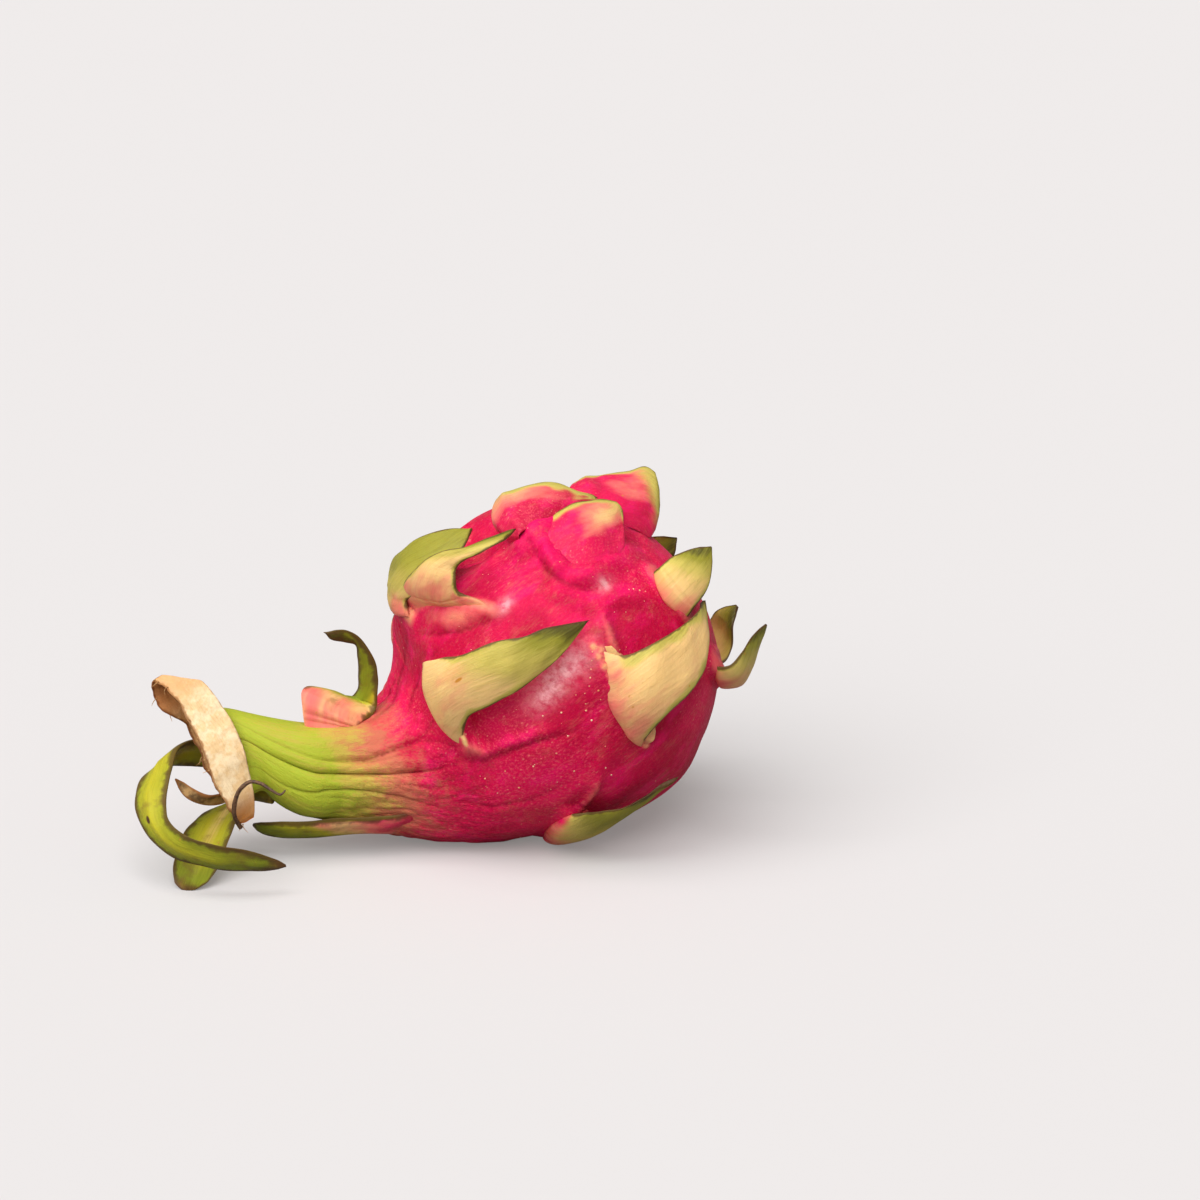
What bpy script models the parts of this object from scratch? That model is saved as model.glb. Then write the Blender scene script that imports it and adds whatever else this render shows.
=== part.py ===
"""Dragon fruit (red pitaya), whole, lying on its side.

The fruit is described by a bent spine that runs from the stem end to the neck.
A place on it is given by three numbers:
  s    millimetres along the spine from the middle of the body, towards the neck
  phi  degrees round the spine: 0 on top, 90 on the front side, 180 underneath
  h    millimetres above the plain skin
Lengths are in millimetres until a mesh is made, which is in metres.
"""
import math
import random

import bpy
import numpy as np

MM = 0.001

# Body and neck
BODY_CENTRE = (0.0, 0.0, 44.0)
BODY_PITCH, BODY_YAW = 38.0, 16.0        # how far the neck side points down and to the front
NECK_PITCH, NECK_YAW = -5.5, 22.0
BEND_START, BEND_END = 18.0, 62.0        # where along s the spine turns from body to neck
STEM_END, NECK_END = -42.0, 92.0
PROFILE = [                              # (s, radius)
    (-42, 2), (-41.3, 8), (-38, 19.5), (-31.5, 30), (-18, 39.8), (-4, 43.6), (9, 42.4), (21, 37.6),
    (33, 29.6), (44, 22.0), (55, 16.4), (68, 12.9), (84, 11.5), (98, 11.0),
]
BODY_ROWS, BODY_COLUMNS = 54, 44

# Creases of the neck: phi at each s of CREASE_S, front ones first
CREASE_S = (42, 54, 64, 72, 80, 88, 96)
CREASES = [
    (60, 64, 68, 64, 55, 43, 28),
    (78, 79, 80, 79, 77, 78, 82),
    (112, 100, 97, 99, 112, 118, 120),
    (168, 165, 165, 165, 165, 165, 165),
    (225, 228, 230, 230, 230, 230, 230),
    (295, 295, 292, 290, 290, 290, 290),
    (350, 350, 348, 345, 342, 340, 338),
]
LOBE_DEPTH = 0.13                        # of the radius, between a crease and the lobe beside it

# Dried collar: a flattened ring at the neck's end
COLLAR_CENTRE = (-88.3, -30.0, 30.4)
COLLAR_LENGTH, COLLAR_DEPTH, COLLAR_WALL = 45.0, 13.6, 1.3
COLLAR_DOWN = (0.535, -0.233, -0.814)    # along the ring's long way
COLLAR_OUT = (-0.758, -0.555, -0.342)    # along the ring's own hole, away from the fruit
COLLAR_COLUMNS = 32
COLLAR_EDGES = [                         # (along its long way, edge at the neck, free rim)
    (-22.5, -0.8, 2.3), (-19, -3.6, 0.9), (-14.5, -7.8, 0.9), (-5, -8.1, 2.0), (3, -7.2, 3.4), (10, -5.6, 4.2),
    (16, -3.9, 4.6), (22.5, -1.4, 2.8),
]
COLLAR_BACK = 3.2                        # how much lower the free rim is on the side turned away
PLUG_SHIFT, PLUG_LENGTH, PLUG_DEPTH = 3.9, 25.0, 8.4   # the neck's flattened end, inside the ring
PLUG_START, PLUG_END = -9.0, -3.0        # where it enters the ring and where it ends, along COLLAR_OUT

# Dried style: a thread that rises from the collar's lower fold
STYLE_RADIUS = 0.65
STYLE_ROUTE = [
    (-78.6, -38.6, 12.2), (-79.8, -40.2, 15.6), (-79.6, -41.0, 19.6), (-78.0, -41.2, 23.4),
    (-75.2, -41.4, 25.4), (-72.8, -41.8, 25.0), (-70.2, -42.6, 23.6), (-67.6, -43.0, 22.6),
    (-66.6, -42.8, 23.6),
]

# Ground and origin
GROUND = -1.0                            # the surface, in the fruit's own height
ORIGIN = (-24.54, -0.29, GROUND)         # becomes (0, 0, 0): under the middle of the box

# Blades
BLADE_ROWS, BLADE_COLUMNS = 11, 4
ROOT_THICKNESS, TIP_THICKNESS = 3.4, 1.0
TURN_WEIGHT = 6.0                        # how many mm of blade one radian of turn counts for in its rows
TIP_HALF = 0.6
BEND_ROOM = 1.1                          # thickest a blade may be, in radii of its bend
CUP = 0.10                               # how far a blade's edges bend back, as a share of its half width

# Scales that the front shows, from the fold to the tip: s, phi, h of the far margin, then of the near one
SCALES = {
    "front_long": [
        (32.5, 34, 7, 35, 67, 6), (22.1, 44, 10.3, 32.5, 64, 9.9), (15.7, 50, 11.6, 26, 64, 11),
        (10.1, 53, 12.3, 18.4, 66, 11.2), (3.2, 57, 11.2, 10.6, 67, 10), (-3.8, 60, 10, 2.4, 67, 9.5),
        (-8.8, 63, 8.3, -4.7, 67, 8), (-12.3, 65, 7, -12.2, 65, 7),
    ],
    "upper_hook": [
        (19.6, 7, 4, 8.5, 34, 2), (17.6, 11, 8, 7.5, 30, 4), (12.1, 18, 11.8, 5.2, 28, 9), (4.7, 25, 14.8, 1.6, 30, 11.7),
        (-2.2, 31, 14, -1.7, 33, 12), (-8.2, 30, 11.6, -5.7, 34, 10.6), (-14.5, 29, 9, -14.5, 29, 8.7),
    ],
    "upper_back": [
        (20.3, -15, 2, 20.6, 11, 1.8), (18.1, -10, 7, 17.7, 9, 5), (15, -6, 10.5, 13.2, 10, 8),
        (8, 2, 13, 9, 13, 10), (0, 8, 12.8, 3, 16, 9.5), (-3.8, 12, 11.4, -1.5, 19, 9), (-6.5, 16, 10, -6.5, 17, 10),
    ],
    "top_stout": [
        (-15.8, 4, 5, -12.5, 28, 2), (-17, 5, 8, -13, 26, 5), (-22.2, 7, 10, -16.5, 26, 7.5),
        (-28.2, 8, 11, -22, 26, 8.5), (-32.2, 12, 8.8, -27.5, 24, 7.7), (-35.1, 13, 6, -35.1, 16, 6),
    ],
    "upper_flap": [
        (-20.8, 24, 2.2, -12.3, 50, 1), (-28.3, 23, 6.5, -20.1, 52, 3.8), (-34.3, 21, 8.5, -25.5, 54, 6.5),
        (-38, 20, 9, -31.5, 52, 7.8), (-39.5, 28, 8.5, -34, 46, 8),
    ],
    "top_cup": [
        (-34, -9, 3, -31.5, 9, 2), (-35.1, -8, 7, -32.7, 8.5, 5), (-39.2, -13, 15, -36.1, 10, 6.5),
        (-46.1, -19, 24, -41.2, 18, 15), (-51, -25, 22, -46.6, 22, 17), (-53, -22, 17, -49.6, 16, 16),
    ],
    "right_flap": [
        (-9, 72, 1, -3.5, 113, 0.5), (-12.3, 79, 4, -3.5, 109, 2.5), (-14.9, 81, 7, -7.7, 104, 6),
        (-19.5, 82, 9, -12.3, 102, 8.5), (-25.8, 85, 10, -19, 102, 10), (-33, 89, 10, -29, 103, 10),
        (-39, 96, 9.5, -39, 97, 9.5),
    ],
    "low_front": [
        (26, 120, 1, 29, 158, 1.5), (25, 121, 3.5, 28.5, 159, 4.4), (19, 120, 5.5, 22, 158, 6.0),
        (13, 119, 6.6, 14, 152, 7), (8, 119, 6.8, 8, 142, 7.2), (0, 122, 6.4, 2, 132, 6.8), (-5, 127, 5.4, -5, 128, 5.4),
    ],
    "stem_upper": [
        (-35, 318, 3, -34, 352, 3), (-37, 321, 8, -36.5, 354, 8), (-41, 326, 19, -41, 356, 19),
        (-45, 332, 25, -45, 352, 25), (-49, 342, 25, -49, 345, 25),
    ],
    "stem_front": [
        (-33.5, 66, 3, -32.5, 92, 3), (-35.5, 66, 8, -35, 90, 8), (-39.5, 66, 15.5, -39.5, 90, 15.5),
        (-43.5, 68, 27, -43.5, 87, 27), (-49, 74, 25, -49, 77, 25),
    ],
    "stem_low": [
        (-31, 124, 3, -31, 150, 3), (-33, 124, 7.5, -33, 150, 7.5), (-38, 126, 15, -38, 148, 15),
        (-43, 128, 30, -43, 144, 30), (-48, 134, 28, -48, 138, 28),
    ],
    "stem_under": [
        (-33, 186, 3, -33, 214, 3), (-35, 186, 7.5, -35, 214, 7.5), (-39, 188, 15, -39, 212, 15),
        (-43, 191, 26, -43, 209, 26), (-48, 198, 25, -48, 201, 25),
    ],
    "stem_back": [
        (-32, 246, 3, -32.5, 272, 3), (-34, 245, 7.5, -34.5, 272, 7.5), (-38.5, 245, 15, -38.5, 270, 15),
        (-43, 248, 28.5, -43, 266, 28.5), (-48.5, 255, 27, -48.5, 258, 27),
    ],
    "under_foot": [
        (22, 190, 1.5, 22, 217, 1.5), (21.5, 190, 4.5, 21.5, 217, 4.5), (14, 190, 6, 14, 214, 6),
        (6, 191, 7, 6, 209, 7), (-1, 194, 7.5, -1, 204, 7.5), (-7, 198, 7.5, -7, 199, 7.5),
    ],
    "neck_under": [
        (45, 142, -6, 42, 116, -3), (47, 142, -3, 49.3, 119, 0.6), (51, 152, -1, 54.8, 128, 2.6),
        (57, 162, 1, 61, 133, 3.7), (63.6, 178, 3, 67.3, 144, 3.6), (70.1, 194, 5.6, 73.7, 160, 4.5),
        (75.5, 206, 8.6, 79.2, 178, 5.6), (80.8, 216, 11, 83, 199, 7.4), (84, 219, 12, 84.5, 214, 11),
    ],
    "neck_top": [
        (62, -8, -4, 62, 28, -4), (70, -10, 0, 70, 26, 1), (75.5, -8, 4, 76.5, 24, 4), (76.2, -7, 8, 77.9, 23, 7),
        (70.5, -8, 7.6, 73.6, 26, 9.2), (65.5, -10, 5.2, 68.4, 31, 6.4), (61.5, -5, 5, 62.1, 28, 4.4),
        (62, -1, 9.2, 59.1, 17, 8.6), (63, 2, 15.6, 59.8, 14, 14.4), (64.6, 4, 19.7, 62.4, 12, 19.6),
        (68.1, 5, 22.5, 66.8, 11, 24.4), (73.7, 7, 24.8, 73.1, 9, 24),
    ],
}
WHOLE = ("neck_under", "neck_top")       # their rows start at the sunk root, the others at the fold
ROOT_ROWS = ((-5, -6, 0.8), (-1.5, -2, 0.97))    # s from the fold, h, share of the fold's width
# Two leaves that leave the neck's end behind the collar: x, y, z, half width, and the way their width lies
LEAF_LONG = [
    (-71, -22, 21, 3.5), (-77, -15, 20, 4.0), (-84, -12, 21.4, 4.3), (-91.4, -16, 24.8, 4.4), (-97.6, -25, 26.4, 4.5),
    (-100, -34.6, 24.4, 4.6), (-100.4, -43, 20.0, 4.6), (-97.6, -49, 15.6, 4.6), (-91.6, -53, 12.2, 4.7),
    (-83.6, -54, 10.0, 4.4), (-75, -53, 8.5, 3.2), (-66.2, -50, 6.3, 0.6),
]
LEAF_LONG_SIDE = [
    (0.0, -0.2, 1.0), (0.0, -0.3, 1.0), (0.1, -0.4, 0.9), (0.3, -0.3, 0.9), (0.5, -0.4, 0.75), (0.85, -0.4, 0.3),
    (0.9, -0.3, 0.3), (0.6, -0.4, 0.7), (0.2, -0.5, 0.85), (0.1, -0.5, 0.85), (0.1, -0.5, 0.85), (0.1, -0.4, 0.9),
]
LEAF_SHORT = [
    (-71, -24, 17.5, 4.0), (-77, -18.5, 16.8, 5.0), (-83.2, -21.5, 14.6, 6.2), (-86.6, -30, 11.2, 6.4),
    (-88.4, -38, 6.9, 6.3), (-89.8, -44, 2.8, 5.6), (-90.8, -48.4, -1.0, 3.4),
]
LEAF_SHORT_SIDE = [
    (0.3, 0.2, 0.9), (0.5, 0.0, 0.8), (0.8, -0.1, 0.6), (0.95, -0.2, 0.25), (1.0, -0.1, 0.1), (1.0, 0.0, 0.0),
    (1.0, 0.0, 0.0),
]

# Scales of the sides that the front doesn't show follow the fruit's own spiral
SPIRAL_TURN, SPIRAL_STEP, SPIRAL_START = 137.5, 4.1, 52.0
SPIRAL_COUNT, SPIRAL_PHI, SPIRAL_SEED = 20, 193.0, 4
NEIGHBOUR_GAP = 24.0                     # least distance from the root of another scale
HIDDEN_FROM, HIDDEN_TO = 196.0, 311.0    # the span of phi that the front doesn't show
SPIRAL_SCALE = [                         # s from the fold, h, half width
    (0, 2.5, 11.5), (0, 7, 11.3), (-5, 10, 10.5), (-12, 10.5, 8.6), (-20, 9.5, 5.8), (-27, 8, 2.6), (-32, 6.5, 0.6),
]

# Skin relief
WELT_HEIGHT, WELT_LENGTH = 3.6, 30.0     # the raised skin that runs from under a scale to the stem end
WAVE_HEIGHT = 0.5


def unit(v):
    return v / np.linalg.norm(v, axis=-1, keepdims=True)


def smooth(x, start, end):
    """0 before start, 1 after end, with a soft turn between them."""
    t = np.clip((np.asarray(x, float) - start) / (end - start), 0, 1)
    return t * t * (3 - 2 * t)


def curve(x, xs, ys):
    """A smooth line through the points that doesn't swing past them."""
    xs, ys = np.asarray(xs, float), np.asarray(ys, float)
    step = np.diff(xs)
    slope = np.diff(ys) / step
    bend = np.zeros(len(xs))
    bend[0], bend[-1] = slope[0], slope[-1]
    for i in range(1, len(xs) - 1):
        if slope[i - 1] * slope[i] > 0:
            a = 2 * step[i] + step[i - 1]
            b = step[i] + 2 * step[i - 1]
            bend[i] = (a + b) / (a / slope[i - 1] + b / slope[i])
    x = np.clip(x, xs[0], xs[-1])
    i = np.clip(np.searchsorted(xs, x) - 1, 0, len(step) - 1)
    t = (x - xs[i]) / step[i]
    near = ys[i] * (1 + 2 * t) * (1 - t) ** 2 + step[i] * bend[i] * t * (1 - t) ** 2
    far = ys[i + 1] * t * t * (3 - 2 * t) + step[i] * bend[i + 1] * t * t * (t - 1)
    return near + far


class Spine:
    """The fruit's bent middle line, with the up and front directions along it."""

    STEP = 0.5

    def __init__(self):
        s = np.arange(-60, 125.01, self.STEP)
        turn = smooth(s, BEND_START, BEND_END)
        pitch = np.radians(BODY_PITCH + (NECK_PITCH - BODY_PITCH) * turn)
        yaw = np.radians(BODY_YAW + (NECK_YAW - BODY_YAW) * turn)
        along = -np.stack([np.cos(pitch) * np.cos(yaw), np.cos(pitch) * np.sin(yaw), np.sin(pitch)], 1)
        place = np.zeros_like(along)
        place[1:] = np.cumsum((along[1:] + along[:-1]) / 2 * self.STEP, 0)
        place += np.array(BODY_CENTRE) - place[np.argmin(abs(s))]
        up = unit(np.array([0, 0, 1.0]) - along * along[:, 2:3])
        self.s, self.place, self.along, self.up = s, place, along, up
        self.front = np.cross(up, along)

    def at(self, s):
        rows = (self.place, self.along, self.up, self.front)
        return [np.stack([np.interp(s, self.s, row[:, k]) for k in range(3)], -1) for row in rows]


SPINE = Spine()


def radius(s):
    return curve(s, [p[0] for p in PROFILE], [p[1] for p in PROFILE])


def on_skin(s, phi, h):
    """The place at s, phi (degrees) and h, without the relief of the skin."""
    place, _, up, front = SPINE.at(s)
    phi = np.radians(phi)[..., None]
    return place + (radius(s) + h)[..., None] * (np.cos(phi) * up + np.sin(phi) * front)


def lobes(s, phi):
    """Height of the neck's lobes over its creases, as a share of the radius."""
    lines = np.stack([curve(s, CREASE_S, line) for line in CREASES])
    first = lines[0]
    turn = (phi - first) % 360
    edges = np.concatenate([(lines - first) % 360, np.full_like(first, 360)[None]])
    height = np.zeros_like(turn)
    for a, b in zip(edges[:-1], edges[1:]):
        t = np.clip((turn - a) / (b - a), 0, 1)
        height = np.where((turn >= a) & (turn <= b), np.sin(math.pi * t) ** 0.6, height)
    return (height - 0.6) * LOBE_DEPTH * smooth(s, 36, 56)


def scale_folds():
    """Where each body scale folds over: s, phi and half width in degrees."""
    folds = []
    rows = [value[0] for name, value in SCALES.items() if name not in WHOLE]
    for far_s, far_phi, _, near_s, near_phi, _ in rows + [value[0] for value in spiral_scales()]:
        half = (near_phi - far_phi) / 2
        folds.append(((far_s + near_s) / 2, far_phi + half, half))
    return folds


def welts(s, phi):
    """The skin raised from under each scale's fold, fading towards the stem end."""
    height = np.zeros_like(s)
    for fold, centre, half in FOLDS:
        behind = fold - s
        around = np.abs((phi - centre + 180) % 360 - 180) / half
        length = smooth(behind, -2, 3) * (1 - smooth(behind, 4, WELT_LENGTH))
        across = 1 - smooth(around, 0.6, 1.25)
        height = np.maximum(height, WELT_HEIGHT * length * across)
    return height


def waves(s, phi):
    angle = np.radians(phi)
    wave = np.sin(3 * angle + 0.09 * s) + 0.6 * np.sin(5 * angle - 0.13 * s + 1.1)
    return WAVE_HEIGHT * wave * smooth(s, STEM_END, STEM_END + 12)


def ring_lens(angle, length, depth):
    """A flattened ring's outline with drawn out ends: along its length and its depth."""
    across = np.sin(angle)
    return length / 2 * np.cos(angle), depth / 2 * across * np.abs(across) ** 0.3


def collar_axes():
    down = unit(np.array(COLLAR_DOWN))
    out = np.array(COLLAR_OUT)
    out = unit(out - down * (out @ down))
    return down, out, np.cross(down, out)


def body_surface(s, phi):
    """Points of the body's and the neck's skin."""
    height = welts(s, phi) * (1 - smooth(s, 40, 56)) + waves(s, phi) + radius(s) * lobes(s, phi)
    points = on_skin(s, phi, height)
    down, out, back = collar_axes()
    along, across = ring_lens(np.radians(phi), PLUG_LENGTH, PLUG_DEPTH)
    inset = PLUG_START + (PLUG_END - PLUG_START) * smooth(s, 82, NECK_END)
    plug = (np.array(COLLAR_CENTRE) + down * PLUG_SHIFT + out * inset[..., None]
            - down * along[..., None] - back * across[..., None])
    share = smooth(s, 74, 88)[..., None]
    return points * (1 - share) + plug * share


def closed_grid(grid, start, end):
    """A closed skin from rings of points (rows x columns), capped at two poles."""
    rows, columns = grid.shape[:2]
    points = np.concatenate([grid.reshape(-1, 3), [start], [end]])
    faces = []
    for i in range(rows - 1):
        for j in range(columns):
            k = (j + 1) % columns
            faces.append((i * columns + j, i * columns + k, (i + 1) * columns + k, (i + 1) * columns + j))
    first, last = rows * columns, rows * columns + 1
    for j in range(columns):
        k = (j + 1) % columns
        faces.append((first, k, j))
        faces.append((last, (rows - 1) * columns + j, (rows - 1) * columns + k))
    return points, faces


def body_mesh():
    spread = np.linspace(-1, 1, BODY_ROWS)
    dense = np.interp(spread, (-1, -0.8, 0.35, 1), (STEM_END + 0.15, -34, 40, NECK_END))
    phi = np.arange(BODY_COLUMNS) * 360 / BODY_COLUMNS
    s, phi = np.meshgrid(dense, phi, indexing="ij")
    grid = body_surface(s, phi)
    stem = SPINE.at(np.array(STEM_END + 1.6))[0]
    neck = grid[-1].mean(0)
    return closed_grid(grid, stem, neck)


def spline(points, count):
    """Points of a smooth line through the given rows, closer together where it turns."""
    points = np.asarray(points, float)
    gap = np.linalg.norm(np.diff(points[:, :3], axis=0), axis=1)
    knots = np.concatenate([[0], np.cumsum(gap)])
    slope = np.gradient(points, knots, axis=0)
    t = np.linspace(0, knots[-1], 30 * len(points))
    i = np.clip(np.searchsorted(knots, t, side="right") - 1, 0, len(gap) - 1)
    step = gap[i]
    u = ((t - knots[i]) / step)[:, None]
    step = step[:, None]
    dense = (points[i] * (1 + 2 * u) * (1 - u) ** 2 + step * slope[i] * u * (1 - u) ** 2
             + points[i + 1] * u * u * (3 - 2 * u) + step * slope[i + 1] * u * u * (u - 1))
    run = np.diff(dense[:, :3], axis=0)
    length = np.linalg.norm(run, axis=1)
    heading = unit(run)
    turn = np.arccos(np.clip(np.sum(heading[1:] * heading[:-1], 1), -1, 1))
    weight = length + TURN_WEIGHT * np.concatenate([[0], turn])
    total = np.concatenate([[0], np.cumsum(weight)])
    at = np.linspace(0, total[-1], count)
    return np.stack([np.interp(at, total, dense[:, k]) for k in range(points.shape[1])], 1)


def bend_radius(line):
    """How tightly a line of points turns, as a radius at each point."""
    heading = np.gradient(line, axis=0)
    step = np.linalg.norm(heading, axis=1)
    turn = np.linalg.norm(np.gradient(unit(heading), axis=0), axis=1)
    return step / np.maximum(turn, 1e-6)


def blade(margins):
    """A closed leaf blade between its far and its near margin, rows of (x, y, z, x, y, z)."""
    line = spline(margins, BLADE_ROWS)
    far, near = line[:, :3], line[:, 3:]
    centre = (far + near) / 2
    half = np.maximum(np.linalg.norm(near - far, axis=1) / 2, TIP_HALF)
    along = unit(np.gradient(centre, axis=0))
    side = unit(near - far + 1e-3 * (near[0] - far[0]))
    face = unit(np.cross(along, side))
    t = np.linspace(0, 1, BLADE_ROWS)
    thick = TIP_THICKNESS + (ROOT_THICKNESS - TIP_THICKNESS) * (1 - smooth(t, 0.0, 0.6))
    thick = np.minimum(thick, BEND_ROOM * np.min([bend_radius(edge) for edge in (far, centre, near)], 0))
    thick = np.maximum(thick, TIP_THICKNESS)
    across = np.linspace(-1, 1, BLADE_COLUMNS)
    upper, lower = [], []
    for v in across:
        middle = centre + side * (half * v)[:, None] - face * (half * CUP * (1 - v * v))[:, None]
        reach = face * (thick * (0.32 + 0.18 * (1 - v * v)))[:, None]
        upper.append(middle + reach)
        lower.append(middle - reach)
    ring = np.stack(upper + lower[::-1], 1)
    return blade_solid(ring, BLADE_COLUMNS)


def blade_solid(ring, columns):
    """Triangles of a blade's ring of points, split alike on both faces."""
    rows, count = ring.shape[:2]
    faces = []
    for i in range(rows - 1):
        for j in range(count):
            k = (j + 1) % count
            a, b = i * count + j, i * count + k
            c, d = (i + 1) * count + k, (i + 1) * count + j
            if j < columns:
                faces += [(a, b, c), (a, c, d)]
            else:
                faces += [(a, b, d), (b, c, d)]
    for i, flip in ((0, True), (rows - 1, False)):
        for j in range(columns - 1):
            a, b = i * count + j, i * count + j + 1
            c, d = i * count + count - 2 - j, i * count + count - 1 - j
            quad = [(a, b, c), (a, c, d)]
            faces += [tri[::-1] for tri in quad] if flip else quad
    return ring.reshape(-1, 3), faces


def scale_margins(rows, whole=False):
    """World rows of a scale's two margins, with the sunk rows that root it in the skin."""
    data = np.array(rows, float)
    if not whole:
        first = data[0]
        centre = (first[1] + first[4]) / 2
        half = (first[4] - first[1]) / 2
        room = np.clip((first[0] - STEM_END - 4) / 17, 0.15, 1)
        roots = []
        for length, h, share in ROOT_ROWS:
            ds = length * room
            roots.append((first[0] + ds, centre - half * share, h, first[3] + ds, centre + half * share, h))
        data = np.vstack([roots, data])
    far = on_skin(data[:, 0], data[:, 1], data[:, 2])
    near = on_skin(data[:, 3], data[:, 4], data[:, 5])
    return np.hstack([far, near])


def leaf_margins(rows, sides):
    """World rows of a leaf's two margins, from its middle line and the way its width lies."""
    data = np.array(rows, float)
    half = unit(np.array(sides, float)) * data[:, 3:]
    return np.hstack([data[:, :3] - half, data[:, :3] + half])


def spiral_scales():
    """The scales of the hidden sides, each a little different from the next."""
    draw = random.Random(SPIRAL_SEED)
    taken = []
    for rows in SCALES.values():
        far_s, far_phi, _, near_s, near_phi, _ = rows[0]
        taken.append(((far_s + near_s) / 2, (far_phi + near_phi) / 2))
    placed = []
    for k in range(SPIRAL_COUNT):
        s = SPIRAL_START - SPIRAL_STEP * k
        phi = (SPIRAL_PHI + SPIRAL_TURN * k) % 360
        size = draw.uniform(0.9, 1.1)
        lift = draw.uniform(0.8, 1.2)
        turn = draw.uniform(-4, 4)
        if not HIDDEN_FROM < phi < HIDDEN_TO:
            continue
        reach = float(radius(np.array(s)))
        size *= 0.62 + 0.38 * float(smooth(reach, 14, 36))
        clear = True
        for other_s, other_phi in taken:
            around = math.radians(abs((phi - other_phi + 180) % 360 - 180)) * reach
            clear = clear and math.hypot(s - other_s, around) > NEIGHBOUR_GAP * size
        if not clear:
            continue
        taken.append((s, phi))
        rows = []
        for i, (ds, h, half) in enumerate(SPIRAL_SCALE):
            here = s + ds * size
            raised = h * lift * size
            half_turn = math.degrees(half * size / (float(radius(np.array(here))) + raised))
            middle = phi + turn * i / 3
            rows.append((here, middle - half_turn, raised, here, middle + half_turn, raised))
        placed.append(rows)
    return placed


FOLDS = scale_folds()


def outward(points, faces):
    """The faces, turned round if they enclose their solid from the wrong side."""
    volume = 0.0
    for face in faces:
        a = points[face[0]]
        for m in range(1, len(face) - 1):
            volume += np.dot(a, np.cross(points[face[m]], points[face[m + 1]]))
    return faces if volume > 0 else [face[::-1] for face in faces]


def mesh_object(name, points, faces):
    """An object whose points, in the fruit's millimetres, are put in metres about the origin."""
    mesh = bpy.data.meshes.new(name)
    faces = outward(np.asarray(points), faces)
    placed = (np.asarray(points) - np.array(ORIGIN)) * MM
    mesh.from_pydata(placed.tolist(), [], faces)
    mesh.update()
    item = bpy.data.objects.new(name, mesh)
    bpy.context.scene.collection.objects.link(item)
    return item


def material(name, colour, roughness):
    made = bpy.data.materials.new(name)
    made.use_nodes = True
    shader = made.node_tree.nodes["Principled BSDF"]
    shader.inputs["Base Color"].default_value = (*colour, 1)
    shader.inputs["Roughness"].default_value = roughness
    shader.inputs["Metallic"].default_value = 0.0
    return made


def finish(item, colour_material):
    """Smooth shading with sharp edges kept, and the piece's own material."""
    item.data.shade_smooth()
    item.data.set_sharp_from_angle(angle=math.radians(50))
    item.data.materials.clear()
    item.data.materials.append(colour_material)


def boolean(item, operation, **target):
    """Applies one Boolean to the item."""
    cut = item.modifiers.new("Boolean", "BOOLEAN")
    cut.operation = operation
    cut.solver = "MANIFOLD"
    for key, value in target.items():
        setattr(cut, key, value)
    graph = bpy.context.evaluated_depsgraph_get()
    result = bpy.data.meshes.new_from_object(item.evaluated_get(graph))
    item.modifiers.clear()
    item.data = result


def stem_scar():
    """The short cut stub where the fruit sat on its branch."""
    place, along, up, front = SPINE.at(np.array([STEM_END + 4.0, STEM_END - 2.2]))
    angle = np.radians(np.arange(12) * 30)[:, None]
    rings = []
    for k, half in ((0, 6.0), (1, 4.6)):
        rings.append(place[k] + half * (np.cos(angle) * up[k] + np.sin(angle) * front[k]))
    return closed_grid(np.stack(rings[::-1]), place[1], place[0])


def build_fruit():
    """Body, neck, scales and leaves in one solid, with its flat resting spots."""
    fruit = mesh_object("fruit", *body_mesh())
    grown = bpy.data.collections.new("grown")
    bpy.context.scene.collection.children.link(grown)
    blades = []
    for name, rows in SCALES.items():
        blades.append(blade(scale_margins(rows, name in WHOLE)))
    for rows in spiral_scales():
        blades.append(blade(scale_margins(rows)))
    blades.append(blade(leaf_margins(LEAF_LONG, LEAF_LONG_SIDE)))
    blades.append(blade(leaf_margins(LEAF_SHORT, LEAF_SHORT_SIDE)))
    blades.append(stem_scar())
    for number, (points, faces) in enumerate(blades):
        item = mesh_object("blade_%d" % number, points, faces)
        grown.objects.link(item)
        bpy.context.scene.collection.objects.unlink(item)
    boolean(fruit, "UNION", operand_type="COLLECTION", collection=grown)
    for item in list(grown.objects):
        bpy.data.objects.remove(item)
    bpy.data.collections.remove(grown)
    level_ground(fruit)
    finish(fruit, material("pitaya_skin", (0.62, 0.02, 0.10), 0.42))
    return fruit


def level_ground(item):
    """Cuts off what would sink into the surface, which leaves small flat spots to rest on."""
    size = 300.0
    low = np.array([(x, y, z) for x in (-1, 1) for y in (-1, 1) for z in (-1, 0)], float) * size
    low += np.array([0, 0, GROUND])
    faces = [(0, 1, 3, 2), (4, 6, 7, 5), (0, 4, 5, 1), (2, 3, 7, 6), (0, 2, 6, 4), (1, 5, 7, 3)]
    slab = mesh_object("slab", low, faces)
    boolean(item, "DIFFERENCE", operand_type="OBJECT", object=slab)
    bpy.data.objects.remove(slab)


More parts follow.
